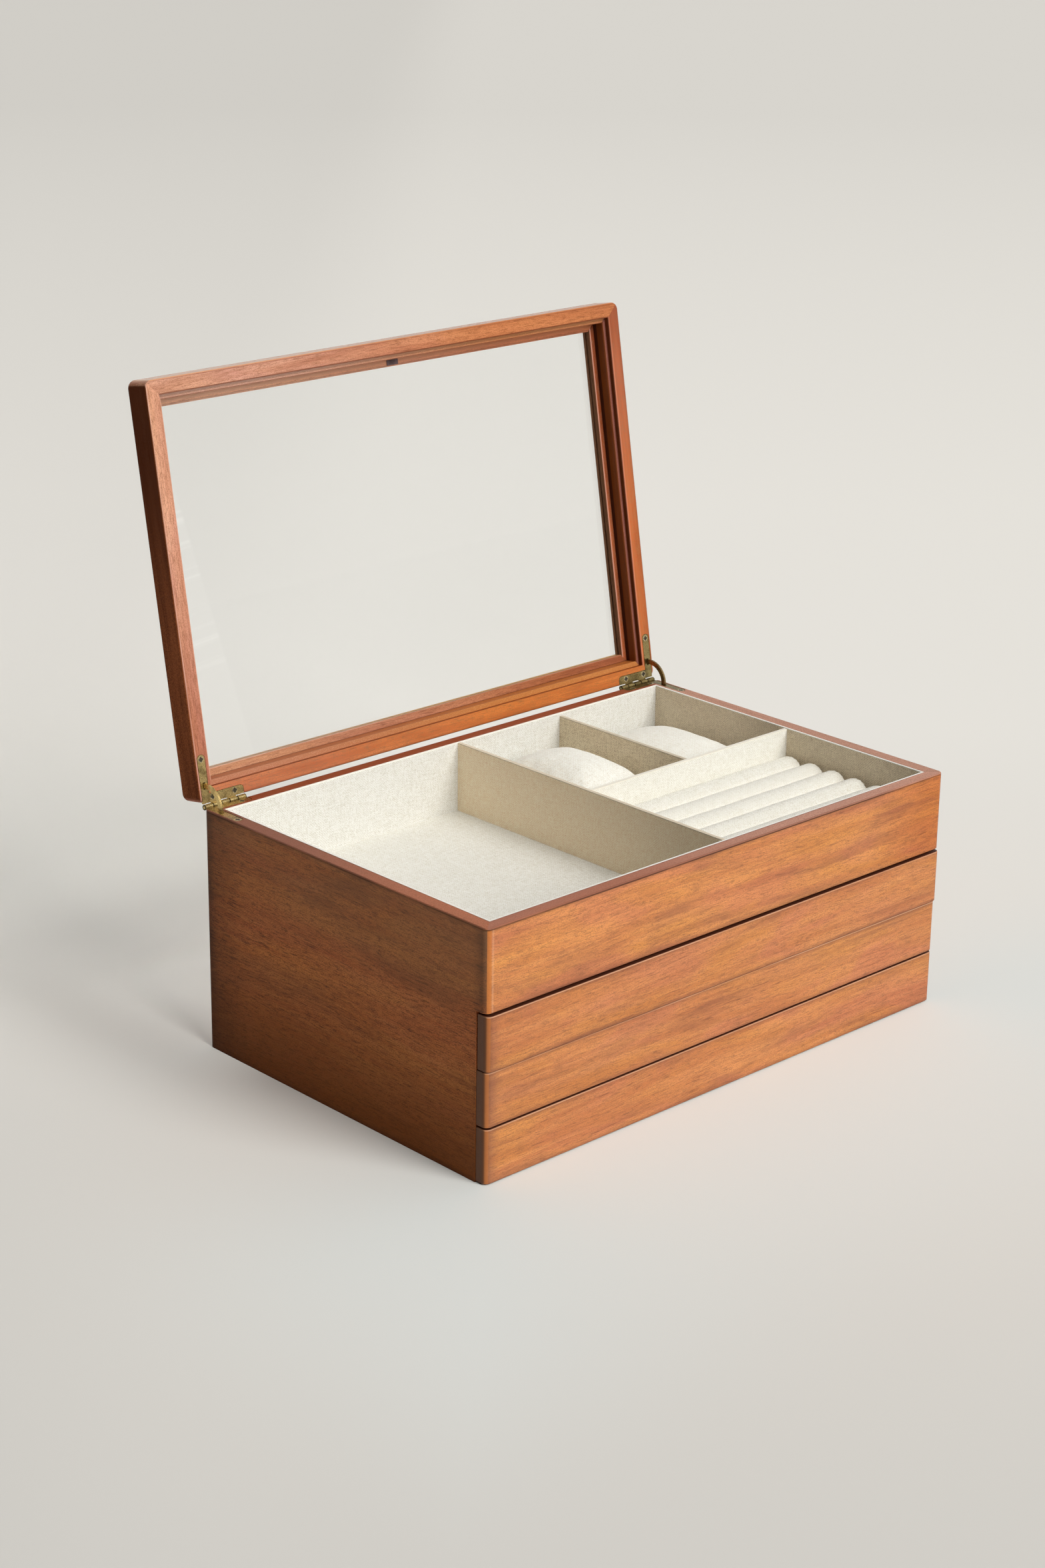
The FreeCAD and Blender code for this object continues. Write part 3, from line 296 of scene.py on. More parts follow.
# The side panels' stain is darker than the front's, partly painted shade, as the seen side turns from the
# lamp.
LEFT_STAIN = dict(STAIN, amber=(0.62, 0.218, 0.067), rust=(0.52, 0.152, 0.046), umber=(0.17, 0.075, 0.034),
                  speck=(0.11, 0.045, 0.022), toner=(0.055, 0.03, 0.022), deep=(0.45, 0.45, 0.5),
                  rim=(0.48, 0.167, 0.09), far_rim=(0.27, 0.105, 0.07),
                  low=(0.15, 0.04, 0.003), high=(0.28, 0.15, 0.08))
RIGHT_STAIN = dict(LEFT_STAIN, rim=(0.55, 0.29, 0.21), far_rim=(0.55, 0.29, 0.21))


def coat_node(node, material):
    """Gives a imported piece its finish."""
    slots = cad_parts[node].data.materials
    slots.clear()
    slots.append(material)


def beyond(reading, line, soft=0.00012):
    """1 where a reading is past a line and 0 before it."""
    return reading.ramp(line - soft, line + soft)


def short_of(reading, line, soft=0.00012):
    """1 where a reading is before a line and 0 past it."""
    return reading.ramp(line - soft, line + soft, 1.0, 0.0)


def board_grain(finish, place, seed):
    """The figure of a board whose grain runs along x: clouds, bands, flecks and fibres."""
    offset = (seed * 0.37, seed * 0.11, seed * 0.23)
    shifted = finish.node("VectorMath", {"operation": "ADD"}, {0: place, 1: offset})
    wander = finish.noise(shifted, (5.0, 14.0, 14.0), 1.0) * 0.014
    x, y, z = finish.axes(shifted)
    bent = finish.joined(x, y + wander, z + wander)
    hue = finish.noise(bent, (14.0, 60.0, 60.0), 3.0, 0.6, 0.6)
    return {
        "cloud": finish.noise(bent, (9.0, 32.0, 32.0), 2.0, 0.55, 0.4),
        "hue": hue,
        "broken": hue.ramp(0.34, 0.6),
        "warmth": finish.noise(bent, (13.0, 47.0, 47.0), 2.0, 0.6, 0.5),
        "band": finish.noise(bent, (9.0, 230.0, 230.0), 4.0, 0.68),
        "fleck": finish.noise(bent, (70.0, 1500.0, 1500.0), 2.0, 0.62),
        "fibre": finish.noise(bent, (190.0, 2200.0, 2200.0), 2.0, 0.6),
        "pore": finish.noise(bent, (1500.0, 2600.0, 2600.0), 1.0, 0.7),
    }


def stain_board(node, board, seed, stain, toned, gloss=0.3, roughness=0.4, speckle=1.5, hues=1.0):
    """Finishes a board: its figure, then the toner, then what lies on its edges."""
    finish = Finish(node + "_wood", {"Specular IOR Level": gloss, "Coat Roughness": CLEAR_ROUGHNESS})
    place, limits, layers, polish = board(finish)
    grain = board_grain(finish, place, seed)
    tone = grain["cloud"].ramp(0.36, 0.64) * 0.4 + grain["band"].ramp(0.36, 0.64) * 0.6
    colour = finish.mix(tone, stain["rust"], stain["amber"])
    colour = finish.mix(grain["warmth"].ramp(0.5, 0.64) * hues, colour, (1.0, 1.02, 0.84), "MULTIPLY")
    colour = finish.mix(grain["warmth"].ramp(0.5, 0.38) * hues, colour, (0.97, 0.91, 1.12), "MULTIPLY")
    smoke = grain["hue"].ramp(0.48, 0.7) * (grain["band"].ramp(0.6, 0.42) * 0.65 + 0.35)
    colour = finish.mix(smoke * SMOKE_SHARE, colour, stain["umber"])
    specks = grain["pore"].ramp(0.44, 0.68) * 0.26 + grain["fibre"].ramp(0.46, 0.68) * 0.28
    colour = finish.mix(specks * speckle, colour, stain["speck"])
    fleck = grain["fleck"].ramp(0.57, 0.72) * (grain["cloud"].ramp(0.6, 0.4) * 0.7 + 0.3)
    colour = finish.mix(fleck * FLECK_SHARE, colour, stain["toner"])
    edges = [(axis - low).least(high - axis).ramp(0.0, reach, 1.0, 0.0) for axis, low, high, reach in limits]
    toner = reduce(Reading.most, edges) * (grain["hue"].ramp(0.3, 0.62) * 0.45 + 0.55) * toned
    colour = finish.mix(toner, colour, stain["toner"])
    for share, word in layers(grain):
        colour = finish.mix(share, colour, stain[word], "MULTIPLY" if word == "deep" else "MIX")
    relief = finish.bump(grain["fibre"] * 0.5 + grain["pore"] * 0.5 - fleck, WOOD_RELIEF)
    satin = grain["pore"].ramp(0.3, 0.7) * 0.1 + fleck * 0.15 + roughness
    readings = {"Base Color": colour, "Roughness": satin, "Normal": relief}
    if polish is not None:
        readings["Coat Weight"] = polish
    coat_node(node, finish.feed(readings))


def flat_board(along, node, part=None):
    """A board square to the case, with its toned and worn edges and its painted highlights and shade."""
    low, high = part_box(node)
    run, thick = GRAIN_ALONG[along]

    def board(finish):
        axes = finish.axes(finish.place())
        length, width, z = axes[run], axes[thick], axes[2]
        start, stop = length - low[run], high[run] - length
        limits = [(z, low.z, high.z, EDGE_TONE)]
        if part != "rail":
            limits.append((length, low[run], high[run], END_TONE[along]))

        def rim(grain, line):
            """The open top of the case: a reddish rim, browner where hands have worn it."""
            top, arris = beyond(z, high.z - RIM), beyond(z, high.z - ARRIS)
            outer = (width - low[thick]).least(high[thick] - width).ramp(*OUTER_EDGE, 1.0, 0.0)
            stipple = grain["pore"].ramp(0.44, 0.62) * 0.38 + grain["band"].ramp(0.35, 0.65) * 0.15
            # Painted shade along the bottom arris, where the board meets what lies below.
            return [(short_of(z, low.z + BOTTOM_ARRIS), "dark"),
                    (arris * (grain["broken"] * 0.45 + line), "dark"),
                    (top, "rim"), (top * length.ramp(*RIM_FADE), "far_rim"), (top * stipple, "umber"),
                    (top * outer * (grain["broken"] * 0.45 + line * 0.5), "toner")]

        def rail(grain):
            """A painted highlight on the rounded near corner, and darker stain at the far end."""
            return [(stop.ramp(*RAIL_END, 1.0, 0.0), "deep"),
                    (start.ramp(*NEAR_CORNER, 0.75, 0.0), "corner"),
                    # Painted highlight on the rounded near corner.
                    (start.ramp(*GLOW_END) * start.ramp(*GLOW_START) * 0.3, "rubbed"),
                    (stop.ramp(*FAR_CORNER, 0.75, 0.0), "toner")] + rim(grain, 0.42)

        def side(grain):
            """Browner high up, redder low down, and darker towards the back."""
            clouded = grain["cloud"].ramp(0.3, 0.6) * 0.5 + 0.5
            return [(z.ramp(*SIDE_HIGH, 0.0, 0.45) * clouded, "high"),
                    (z.ramp(*SIDE_LOW, 0.0, 0.75), "low"),
                    (stop.ramp(*SIDE_BACK, 0.7, 0.0), "deep")] + rim(grain, 0.05)

        def plain(grain):
            # A painted highlight on the top arris, worn as well, and painted shade along its very top, as in
            # the gap above a drawer front.
            return [(beyond(z, high.z - TOP_HIGHLIGHT) * (grain["broken"] * 0.4 + 0.1), "rubbed"),
                    (beyond(z, high.z - DARK_TOP), "dark"),
                    (start.least(stop).ramp(*END_GRAIN, 0.85, 0.0), "end")]

        def drawer(grain):
            clouded = grain["cloud"].ramp(0.3, 0.6) * 0.4 + 0.6
            # The near end is darker and redder: toner, and painted shade where the rounded corner turns from
            # the lamp.
            return [(start.ramp(*TONED_SHADED_END, 0.62, 0.0) * clouded, "umber"),
                    (start.ramp(*RED_CORNER, 0.55, 0.0), "corner")] + plain(grain)

        layers = {"rail": rail, "back": rail, "side": side, "drawer": drawer}.get(part, plain)
        return finish.joined(length, width, z), limits, layers, None
    return board


PANELS = (
    ("front_top_rail", "X", "rail", STAIN, dict(toned=0.55)),
    ("back_panel", "X", "back", BACK_STAIN, dict(toned=0.6, gloss=0.15)),
    ("side_panel_left", "Y", "side", LEFT_STAIN, dict(toned=0.7, gloss=0.06, speckle=2.0, hues=0.4)),
    ("side_panel_right", "Y", "side", RIGHT_STAIN, dict(toned=0.7, gloss=0.06, speckle=2.0, hues=0.4)),
)
for seed, (node, along, part, stain, finishing) in enumerate(PANELS, start=1):
    stain_board(node, flat_board(along, node, part), seed, stain, **finishing)

# ---------- inner boards
# Thin fibreboard in grooves: one under the tray, one closing the underside.  Pressed
# fibres lie every way, and the face is sealed with a dark brown wash.
WASH_PALE, WASH_DARK = (0.24, 0.135, 0.075), (0.1, 0.052, 0.03)
FIBRE_RELIEF = 0.00006


def wash_fibreboard(node):
    finish = Finish(node + "_fibreboard", {"Specular IOR Level": 0.2})
    place = finish.place()
    wisps = finish.noise(place, (420.0, 420.0, 420.0), 4.0, 0.7, 1.2)
    fibres = finish.noise(place, (1800.0, 1800.0, 1800.0), 2.0, 0.7, 0.8)
    cloud = finish.noise(place, (22.0, 22.0, 22.0), 2.0)
    tone = wisps.ramp(0.3, 0.7) * 0.35 + fibres.ramp(0.35, 0.65) * 0.35 + cloud.ramp(0.3, 0.7) * 0.3
    coat_node(node, finish.feed({"Base Color": finish.mix(tone, WASH_DARK, WASH_PALE),
                                 "Roughness": fibres * 0.2 + 0.5,
                                 "Normal": finish.bump(wisps * 0.4 + fibres * 0.6, FIBRE_RELIEF)}))


for node in ("base_board", "tray_board"):
    wash_fibreboard(node)

# ---------- runners
# Straight strips of beech, three to a side, waxed and polished along the top where the
# drawers ride.
BEECH = {"amber": (0.6, 0.4, 0.235), "rust": (0.52, 0.33, 0.185), "umber": (0.4, 0.25, 0.14),
         "speck": (0.36, 0.21, 0.11), "toner": (0.36, 0.24, 0.13), "dark": (0.26, 0.165, 0.09),
         "rubbed": (0.72, 0.57, 0.38), "end": (0.47, 0.32, 0.18)}

for seed, hand in enumerate(("left", "right"), start=70):
    node = f"drawer_runners_{hand}"
    stain_board(node, flat_board("Y", node), seed, BEECH, toned=0.2, roughness=0.35)

# ---------- tray linen
# Natural linen in a plain weave, glued over thin card.  Threads vary in thickness and
# tone, and slubs show as short bright or dark runs both ways of the cloth.  It is turned
# over the cards' top edges.  Round a stuffed roll its colour carries painted light and shade:
# darker on its lit front, paler behind and low in the furrows, where shade falls.
THREAD_PITCH, THREAD_RELIEF = 0.00062, 0.00012
CREAM, FLAX = (0.84, 0.835, 0.785), (0.6, 0.565, 0.475)
EVEN_SHADE, CREAM_SHARE = 0.42, 0.61
# Painted light and shade round a roll: darker on its front, paler behind and low in its furrows.
ROLL_FRONT, ROLL_BACK, ROLL_TURN = (0.75, 0.738, 0.682), (0.93, 0.917, 0.848), (-0.005, 0.0025)
FURROW, FURROW_FOOT, FURROW_TOP = (1.0, 0.975, 0.9), 0.002, 0.005
PALE_EDGE = (0.86, 0.84, 0.78)
TURNED_OVER = 0.0004


def linen(name, ways, seed, pale=CREAM, dark=FLAX, edge=None, weave=1.8, roll=None):
    """Plain-woven linen: ways are the axes that its threads follow, weave is how far they
    differ, edge is a card's top and its tone, and roll is the middle of a stuffed roll,
    round which light and shade are painted."""
    finish = Finish(name, {"Roughness": 0.92, "Specular IOR Level": 0.1, "Sheen Weight": 0.12,
                           "Sheen Roughness": 0.5})
    axes = dict(zip("XYZ", finish.axes(finish.place())))
    across, up = ways(axes) if callable(ways) else (axes[letter] for letter in ways)
    spot = finish.joined(across, up, seed * 0.31)
    drift = finish.noise(spot, (90.0, 90.0, 1.0), 2.0) * 7.0
    turn = math.pi / THREAD_PITCH
    checks = (across * turn + drift).wave() * (up * turn + drift * 1.3).wave()
    warp = finish.noise(spot, (2500.0, 240.0, 1.0), 1.0)
    weft = finish.noise(spot, (240.0, 2500.0, 1.0), 1.0)
    nap = finish.noise(spot, (4300.0, 4300.0, 1.0), 0.0)
    slub = finish.noise(spot, (1500.0, 60.0, 1.0), 1.0).most(finish.noise(spot, (60.0, 1500.0, 1.0), 1.0))
    shade = (warp.ramp(0.66, 0.34) * 0.13 + weft.ramp(0.66, 0.34) * 0.11 + nap.ramp(0.68, 0.36) * 0.36
             + checks.ramp(0.6, -0.9) * 0.16 + slub.ramp(0.66, 0.8) * 0.08)
    # Painted shade and light round a roll: darker on its front, paler behind.
    if roll is not None:
        pale = finish.mix((axes["Y"] - roll.y).ramp(*ROLL_TURN), ROLL_FRONT, ROLL_BACK)
    cloth = finish.mix((EVEN_SHADE - shade) * weave + CREAM_SHARE, dark, pale)
    # Painted light low in the roll's furrows, where shade falls.
    if roll is not None:
        cloth = finish.mix((axes["Z"] - roll.z).ramp(FURROW_FOOT, FURROW_TOP, 0.85, 0.0), cloth, FURROW)
    if edge is not None:
        top, tone = edge
        cloth = finish.mix(beyond(axes["Z"], top - TURNED_OVER), cloth, tone)
    relief = finish.bump(checks * 0.3 + warp * 0.5 + weft * 0.5, THREAD_RELIEF)
    return finish.feed({"Base Color": cloth, "Normal": relief})


# The right lining and the dividers, whose seen faces turn from the lamp, take warmer, darker linen: partly
# painted shade and warm bounce light.
CARDS = (
    ("tray_lining_floor", "XY", CREAM, FLAX, None, 4.2),
    ("tray_lining_left", "YZ", CREAM, FLAX, PALE_EDGE, 2.7),
    ("tray_lining_right", "YZ", (0.94, 0.83, 0.64), (0.5, 0.39, 0.26), PALE_EDGE, 4.2),
    ("tray_lining_front", "XZ", CREAM, FLAX, PALE_EDGE, 2.7),
    ("tray_lining_back", "XZ", (0.76, 0.758, 0.725), (0.54, 0.512, 0.44), PALE_EDGE, 2.7),
    ("tray_divider_long", "YZ", (1.0, 0.89, 0.68), (0.8, 0.585, 0.36), (0.66, 0.57, 0.44), 4.2),
    ("tray_divider_cross", "XZ", CREAM, FLAX, (0.82, 0.78, 0.68), 2.7),
    ("tray_divider_short", "YZ", (1.0, 0.88, 0.66), (0.6, 0.47, 0.3), (0.58, 0.5, 0.38), 4.2),
)
for seed, (node, ways, pale, dark, tone, weave) in enumerate(CARDS, start=1):
    edge = None if tone is None else (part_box(node)[1].z, tone)
    coat_node(node, linen(node + "_linen", ways, seed, pale, dark, edge, weave))

# ---------- cushions
# Two small pillows of cream linen stuffed with loose fibre, one to each rear bay.  Two
# panels are sewn together round the edge, turned, filled and pushed down into the bay.
SEAM_HEIGHT = 0.0975
ENVELOPE_THICK = 0.008
WIDE, DEEP = 1.13, 1.09
ACROSS, ALONG = 28, 36
VOXEL = 0.0026
PRESSURE, TENSION, BENDING, FRAMES, FURTHEST = 9.0, 4.0, 0.06, 20, 0.016
WALL_GIVE, WALL_GAP = 0.012, 0.0002
SEAM_REACH, SEAM_SINK = 0.003, 0.0007
CUSHION_CREAM, CUSHION_FLAX = (0.9, 0.9, 0.84), (0.7, 0.65, 0.55)


def covered(name, bm, material):
    """A piece of a made mesh, smooth all over, in one finish."""
    mesh = bpy.data.meshes.new(name)
    bm.to_mesh(mesh)
    bm.free()
    mesh.materials.append(material)
    for face in mesh.polygons:
        face.use_smooth = True
    return placed(name, mesh)


def evaluated(piece):
    """The piece's mesh with its modifiers worked in."""
    graph = bpy.context.evaluated_depsgraph_get()
    return bpy.data.meshes.new_from_object(piece.evaluated_get(graph))


def points_of(mesh):
    points = np.empty(len(mesh.vertices) * 3)
    mesh.vertices.foreach_get("co", points)
    return points.reshape(-1, 3)


def slack_envelope(middle, width, depth):
    """Two flat panels sewn together round the edge, in even squares."""
    bm = bmesh.new()
    verts = {}
    for side in (1, -1):
        for i in range(ACROSS + 1):
            for j in range(ALONG + 1):
                u, v = 2 * i / ACROSS - 1, 2 * j / ALONG - 1
                if side == -1 and (i in (0, ACROSS) or j in (0, ALONG)):
                    verts[side, i, j] = verts[1, i, j]
                    continue
                full = min(1.0, (1 - abs(u)) * 6) * min(1.0, (1 - abs(v)) * 6)
                rise = side * ENVELOPE_THICK / 2 * math.sin(full * math.pi / 2)
                verts[side, i, j] = bm.verts.new((middle.x + u * width / 2, middle.y + v * depth / 2,
                                                  SEAM_HEIGHT + rise))
        for i in range(ACROSS):
            for j in range(ALONG):
                square = [verts[side, i, j], verts[side, i + 1, j],
                          verts[side, i + 1, j + 1], verts[side, i, j + 1]]
                bm.faces.new(square if side == 1 else square[::-1])
    return bm


def blow_up(piece):
    """Fills a closed cloth shell with loose stuffing and gives the points back."""
    cloth = piece.modifiers.new("cloth", "CLOTH")
    settings = cloth.settings
    settings.quality = 6
    settings.mass = 0.001
    settings.air_damping = 1.0
    settings.use_pressure = True
    settings.uniform_pressure_force = PRESSURE
    settings.effector_weights.gravity = 0.0
    settings.tension_stiffness = settings.compression_stiffness = TENSION
    settings.shear_stiffness = TENSION * 0.3
    settings.bending_stiffness = BENDING
    cloth.collision_settings.use_collision = False
    cloth.point_cache.frame_start, cloth.point_cache.frame_end = 1, FRAMES
    for frame_number in range(1, FRAMES + 1):
        bpy.context.scene.frame_set(frame_number)
    filled = evaluated(piece)
    points = points_of(filled)
    bpy.context.scene.frame_set(1)
    piece.modifiers.remove(cloth)
    bpy.data.meshes.remove(filled)
    return points


def squeeze(values, low, high):
    """Presses values softly between two walls, which are felt a little way off."""
    half, middle = (high - low) / 2, (high + low) / 2
    off = np.abs(values - middle)
    past = (off - (half - WALL_GIVE)) / WALL_GIVE
    pressed = np.where(past > 0, np.tanh(np.maximum(past, 0)) * WALL_GIVE + half - WALL_GIVE, off)
    return middle + np.sign(values - middle) * pressed


def crowned(points, middle, size, crest):
    """The points' heights with the top at its crest, and lower towards the corners."""
    rise = points[:, 2] - SEAM_HEIGHT
    off = ((points[:, 0] - middle.x) / size.x * 2) ** 2 + ((points[:, 1] - middle.y) / size.y * 2) ** 2
    rise *= np.where(rise > 0, 1 - 0.45 * np.minimum(off / 1.4, 1.1), 1.0)
    return SEAM_HEIGHT + rise * np.where(rise > 0, (crest - SEAM_HEIGHT) / rise.max(), 1.0)


def seam_line(start, middle, size):
    """1 on the sewn edge of the envelope and 0 away from it."""
    level = np.exp(-((start[:, 2] - SEAM_HEIGHT) / 0.0016) ** 2)
    edge = np.minimum(size.x * WIDE / 2 - np.abs(start[:, 0] - middle.x),
                      size.y * DEEP / 2 - np.abs(start[:, 1] - middle.y))
    return level * np.exp(-(np.maximum(edge, 0) / SEAM_REACH) ** 2)


def cushion(node, seed, crest):
    """One pillow, filled, held between its bay's walls, with its seam drawn in."""
    low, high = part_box(node)
    middle, size = (low + high) / 2, high - low
    finish = linen(node + "_linen", "XY", seed, CUSHION_CREAM, CUSHION_FLAX, weave=3.0)
    envelope = slack_envelope(middle, size.x * WIDE, size.y * DEEP)
    piece = covered("pillow_" + node.split("_")[1], envelope, finish)
    remesh = piece.modifiers.new("remesh", "REMESH")
    remesh.mode, remesh.voxel_size = "VOXEL", VOXEL
    piece.data = evaluated(piece)
    piece.modifiers.clear()

    start = points_of(piece.data)
    moved = blow_up(piece) - start
    reach = np.linalg.norm(moved, axis=1, keepdims=True)
    points = start + moved * np.minimum(1.0, FURTHEST / np.maximum(reach, 1e-9))
    for axis in (0, 1):
        points[:, axis] = squeeze(points[:, axis], low[axis] + WALL_GAP, high[axis] - WALL_GAP)
    points[:, 2] = np.maximum(crowned(points, middle, size, crest), low.z + WALL_GAP)
    inward = np.array([middle.x, middle.y, SEAM_HEIGHT]) - points
    sink = seam_line(start, middle, size)[:, None] * SEAM_SINK
    points += inward / np.linalg.norm(inward, axis=1, keepdims=True) * sink
    piece.data.vertices.foreach_set("co", points.ravel())
    finer = piece.modifiers.new("finer", "SUBSURF")
    finer.levels = finer.render_levels = 1
    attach(piece, "case")
    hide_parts(node)


cushion("cushion_left", 21, 0.1178)
cushion("cushion_right", 22, 0.1124)

# ---------- ring rolls
# A foam pad wrapped in linen fills the front bay, and six foam rolls in the same linen
# lie on it side by side.  Each roll's cloth is gathered in and tucked at both ends.
ROLL_COUNT = 6
ROLL_PITCH = 0.01448
ROLL_RADIUS = 0.00722
ROLL_CREST = 0.1085
FIRST_ROLL = 0.00725
ROLL_SIDES, PLAIN_RINGS, GATHERED_RINGS = 68, 53, 10
ROLL_ENDS, DRAWN_IN = 0.0042, 0.9
PUCKERS, PUCKER_DEPTH = 17, 0.00016
LOOSE_ALONG, LOOSE_ROUND, LOOSENESS = 83, 55, 0.00009
FLAT_BENEATH, TOUCHING = 0.93, 0.00005
TUCK, TUCKED_RINGS = 0.0004, (0.72, 0.42, 0.16)
PAD_GAP = Vector((0.0003, 0.0003, 0.0002))
PAD_ROUND, PAD_CROWN, PAD_PULL = 0.0024, 0.0004, 0.0006
LONG_EDGE, PAD_CUTS = 0.02, 14
PAD_CREAM = (0.76, 0.755, 0.7)


def roll_ring(from_end, centre, x, wave):
    """One ring of a roll's cloth: drawn in at the ends and pressed flat where rolls touch."""
    tucked = max(0.0, 1 - from_end / ROLL_ENDS)
    drawn = ROLL_RADIUS - ROLL_ENDS * DRAWN_IN * (1 - math.sqrt(max(0.0, 1 - tucked ** 2)))
    ring = []
    for step in range(ROLL_SIDES):
        angle = 2 * math.pi * step / ROLL_SIDES
        pucker = math.cos(angle * PUCKERS + wave[0]) * PUCKER_DEPTH * min(1.0, tucked * 1.6)
        loose = math.cos(angle * 2 + x * LOOSE_ROUND + wave[1]) * math.sin(x * LOOSE_ALONG + wave[2])
        radius = drawn + pucker + loose * LOOSENESS
        y = math.copysign(min(abs(math.cos(angle)) * radius, ROLL_PITCH / 2 - TOUCHING), math.cos(angle))
        z = max(math.sin(angle) * radius, -ROLL_RADIUS * FLAT_BENEATH)
        ring.append((x, centre.y + y, centre.z + z))
    return ring


def roll_stations(length):
    """How far along a roll its rings stand: close together where the cloth is gathered."""
    gathered = [ROLL_ENDS * (1 - math.cos(step / (GATHERED_RINGS - 1) * math.pi / 2))
                for step in range(GATHERED_RINGS)]
    spacing = (length - 2 * ROLL_ENDS) / (PLAIN_RINGS + 1)
    plain = [ROLL_ENDS + spacing * step for step in range(1, PLAIN_RINGS + 1)]
    return gathered + plain + [length - reach for reach in reversed(gathered)]


def tuck_in(bm, ring, inward, centre, flip):
    """Closes a roll's end with smaller and smaller rings."""
    outer = ring
    for share in TUCKED_RINGS:
        inner = [bm.verts.new((vert.co.x + inward * (1 - share),
                               centre.y + (vert.co.y - centre.y) * share,
                               centre.z + (vert.co.z - centre.z) * share)) for vert in ring]
        for step in range(ROLL_SIDES):
            after = (step + 1) % ROLL_SIDES
            square = (outer[step], inner[step], inner[after], outer[after])
            bm.faces.new(square[::-1] if flip else square)
        outer = inner
    bm.faces.new(outer if flip else outer[::-1])


def ring_roll(number, low, high):
    """One stuffed roll, from the cross divider forwards."""
    rng = random.Random(300 + number)
    wave = [rng.uniform(0, 6.28) for _ in range(3)]
    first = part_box("tray_divider_cross")[0].y - FIRST_ROLL
    centre = Vector((0, first - ROLL_PITCH * number, ROLL_CREST - ROLL_RADIUS))
    left, right = low.x + rng.uniform(0.0, 0.0006), high.x - rng.uniform(0.0, 0.0008)
    bm = bmesh.new()
    rings = []
    for station in roll_stations(right - left):
        from_end = min(station, right - left - station)
        rings.append([bm.verts.new(spot) for spot in roll_ring(from_end, centre, left + station, wave)])
    for near, far in zip(rings, rings[1:]):
        for step in range(ROLL_SIDES):
            after = (step + 1) % ROLL_SIDES
            bm.faces.new((near[step], near[after], far[after], far[step]))
    tuck_in(bm, rings[0], TUCK, centre, False)
    tuck_in(bm, rings[-1], -TUCK, centre, True)
    bmesh.ops.recalc_face_normals(bm, faces=bm.faces)
    name = f"ring_roll_{number + 1}"
    piece = covered(name, bm, linen(name + "_linen", "XY", 31 + number, weave=3.4, roll=centre))
    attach(piece, "case")
    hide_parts("ring_rolls")


for number in range(ROLL_COUNT):
    ring_roll(number, *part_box("ring_rolls"))


def ring_pad():
    """The pad under the rolls: wrapped foam, crowned a little and rounded at its edges."""
    low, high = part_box("ring_pad_base")
    middle, half = (low + high) / 2, (high - low) / 2
    bm = bmesh.new()
    bmesh.ops.create_cube(bm, size=2.0)
    bmesh.ops.scale(bm, vec=half - PAD_GAP, verts=bm.verts)
    bmesh.ops.bevel(bm, geom=bm.edges[:], offset=PAD_ROUND, segments=4, affect="EDGES", profile=0.5)
    long_edges = [edge for edge in bm.edges if edge.calc_length() > LONG_EDGE]
    bmesh.ops.subdivide_edges(bm, edges=long_edges, cuts=PAD_CUTS, use_grid_fill=True)
    for vert in bm.verts:
        u, v = vert.co.x / half.x, vert.co.y / half.y
        crown = max(0.0, 1 - u ** 4) * max(0.0, 1 - v ** 4)
        if vert.co.z > 0:
            vert.co.z += (crown - 1) * PAD_CROWN
        pull = PAD_PULL * (1 - abs(vert.co.z) / half.z)
        vert.co.x -= math.copysign(pull * v ** 2, vert.co.x)
        vert.co.y -= math.copysign(pull * u ** 2, vert.co.y)
        vert.co += middle
    piece = covered("ring_pad", bm, linen("ring_pad_linen", "XY", 40, PAD_CREAM, CUSHION_FLAX, weave=2.6))
    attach(piece, "case")
    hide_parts("ring_pad_base")


ring_pad()

# ---------- drawers
# Thin unstained poplar sides and backs under a thin clear coat, on plywood bottoms whose
# long pale pores run across the drawer.  The fronts are the only stained boards.
FRONT_STAIN = dict(STAIN, amber=(0.66, 0.268, 0.09), end=(0.075, 0.028, 0.01))
POPLAR = dict(BEECH, amber=(0.66, 0.5, 0.31), rust=(0.56, 0.4, 0.235), umber=(0.4, 0.28, 0.165),
              speck=(0.48, 0.335, 0.19))
PLYWOOD = dict(POPLAR, amber=(0.62, 0.47, 0.3), rust=(0.55, 0.41, 0.26), speck=(0.4, 0.28, 0.17))
DRAWERS = ("top", "middle", "bottom")

for number, name in enumerate(DRAWERS):
    front = f"drawer_{name}_front"
    stain_board(front, flat_board("X", front, "drawer"), 5 + number, FRONT_STAIN, toned=0.6)
    for part, along, stain in (("side_left", "Y", POPLAR), ("side_right", "Y", POPLAR),
                               ("back", "X", POPLAR), ("bottom", "X", PLYWOOD)):
        node = f"drawer_{name}_{part}"
        stain_board(node, flat_board(along, node), 50 + number, stain, toned=0.15, gloss=0.2, roughness=0.5)

# ---------- drawer linings
# The same linen as the tray's, over card folded up into a shallow box that drops into
# each drawer.
CARD_THICK, CARD_BEND = 0.0012, 0.001


def folded(axes, node):
    """The cloth's two ways over a one-piece lining: over its floor and up its walls."""
    low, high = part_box(node)
    side = beyond(abs(axes["X"]), high.x - CARD_THICK)
    flat = short_of(axes["Z"], low.z + CARD_BEND)
    return axes["X"] * (1.0 - side) + axes["Y"] * side, axes["Z"] * (1.0 - flat) + axes["Y"] * flat


for seed, name in enumerate(DRAWERS, start=60):
    node = f"drawer_{name}_lining"
    coat_node(node, linen(node + "_linen", lambda axes, node=node: folded(axes, node), seed,
                          edge=(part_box(node)[1].z, PALE_EDGE), weave=2.4))

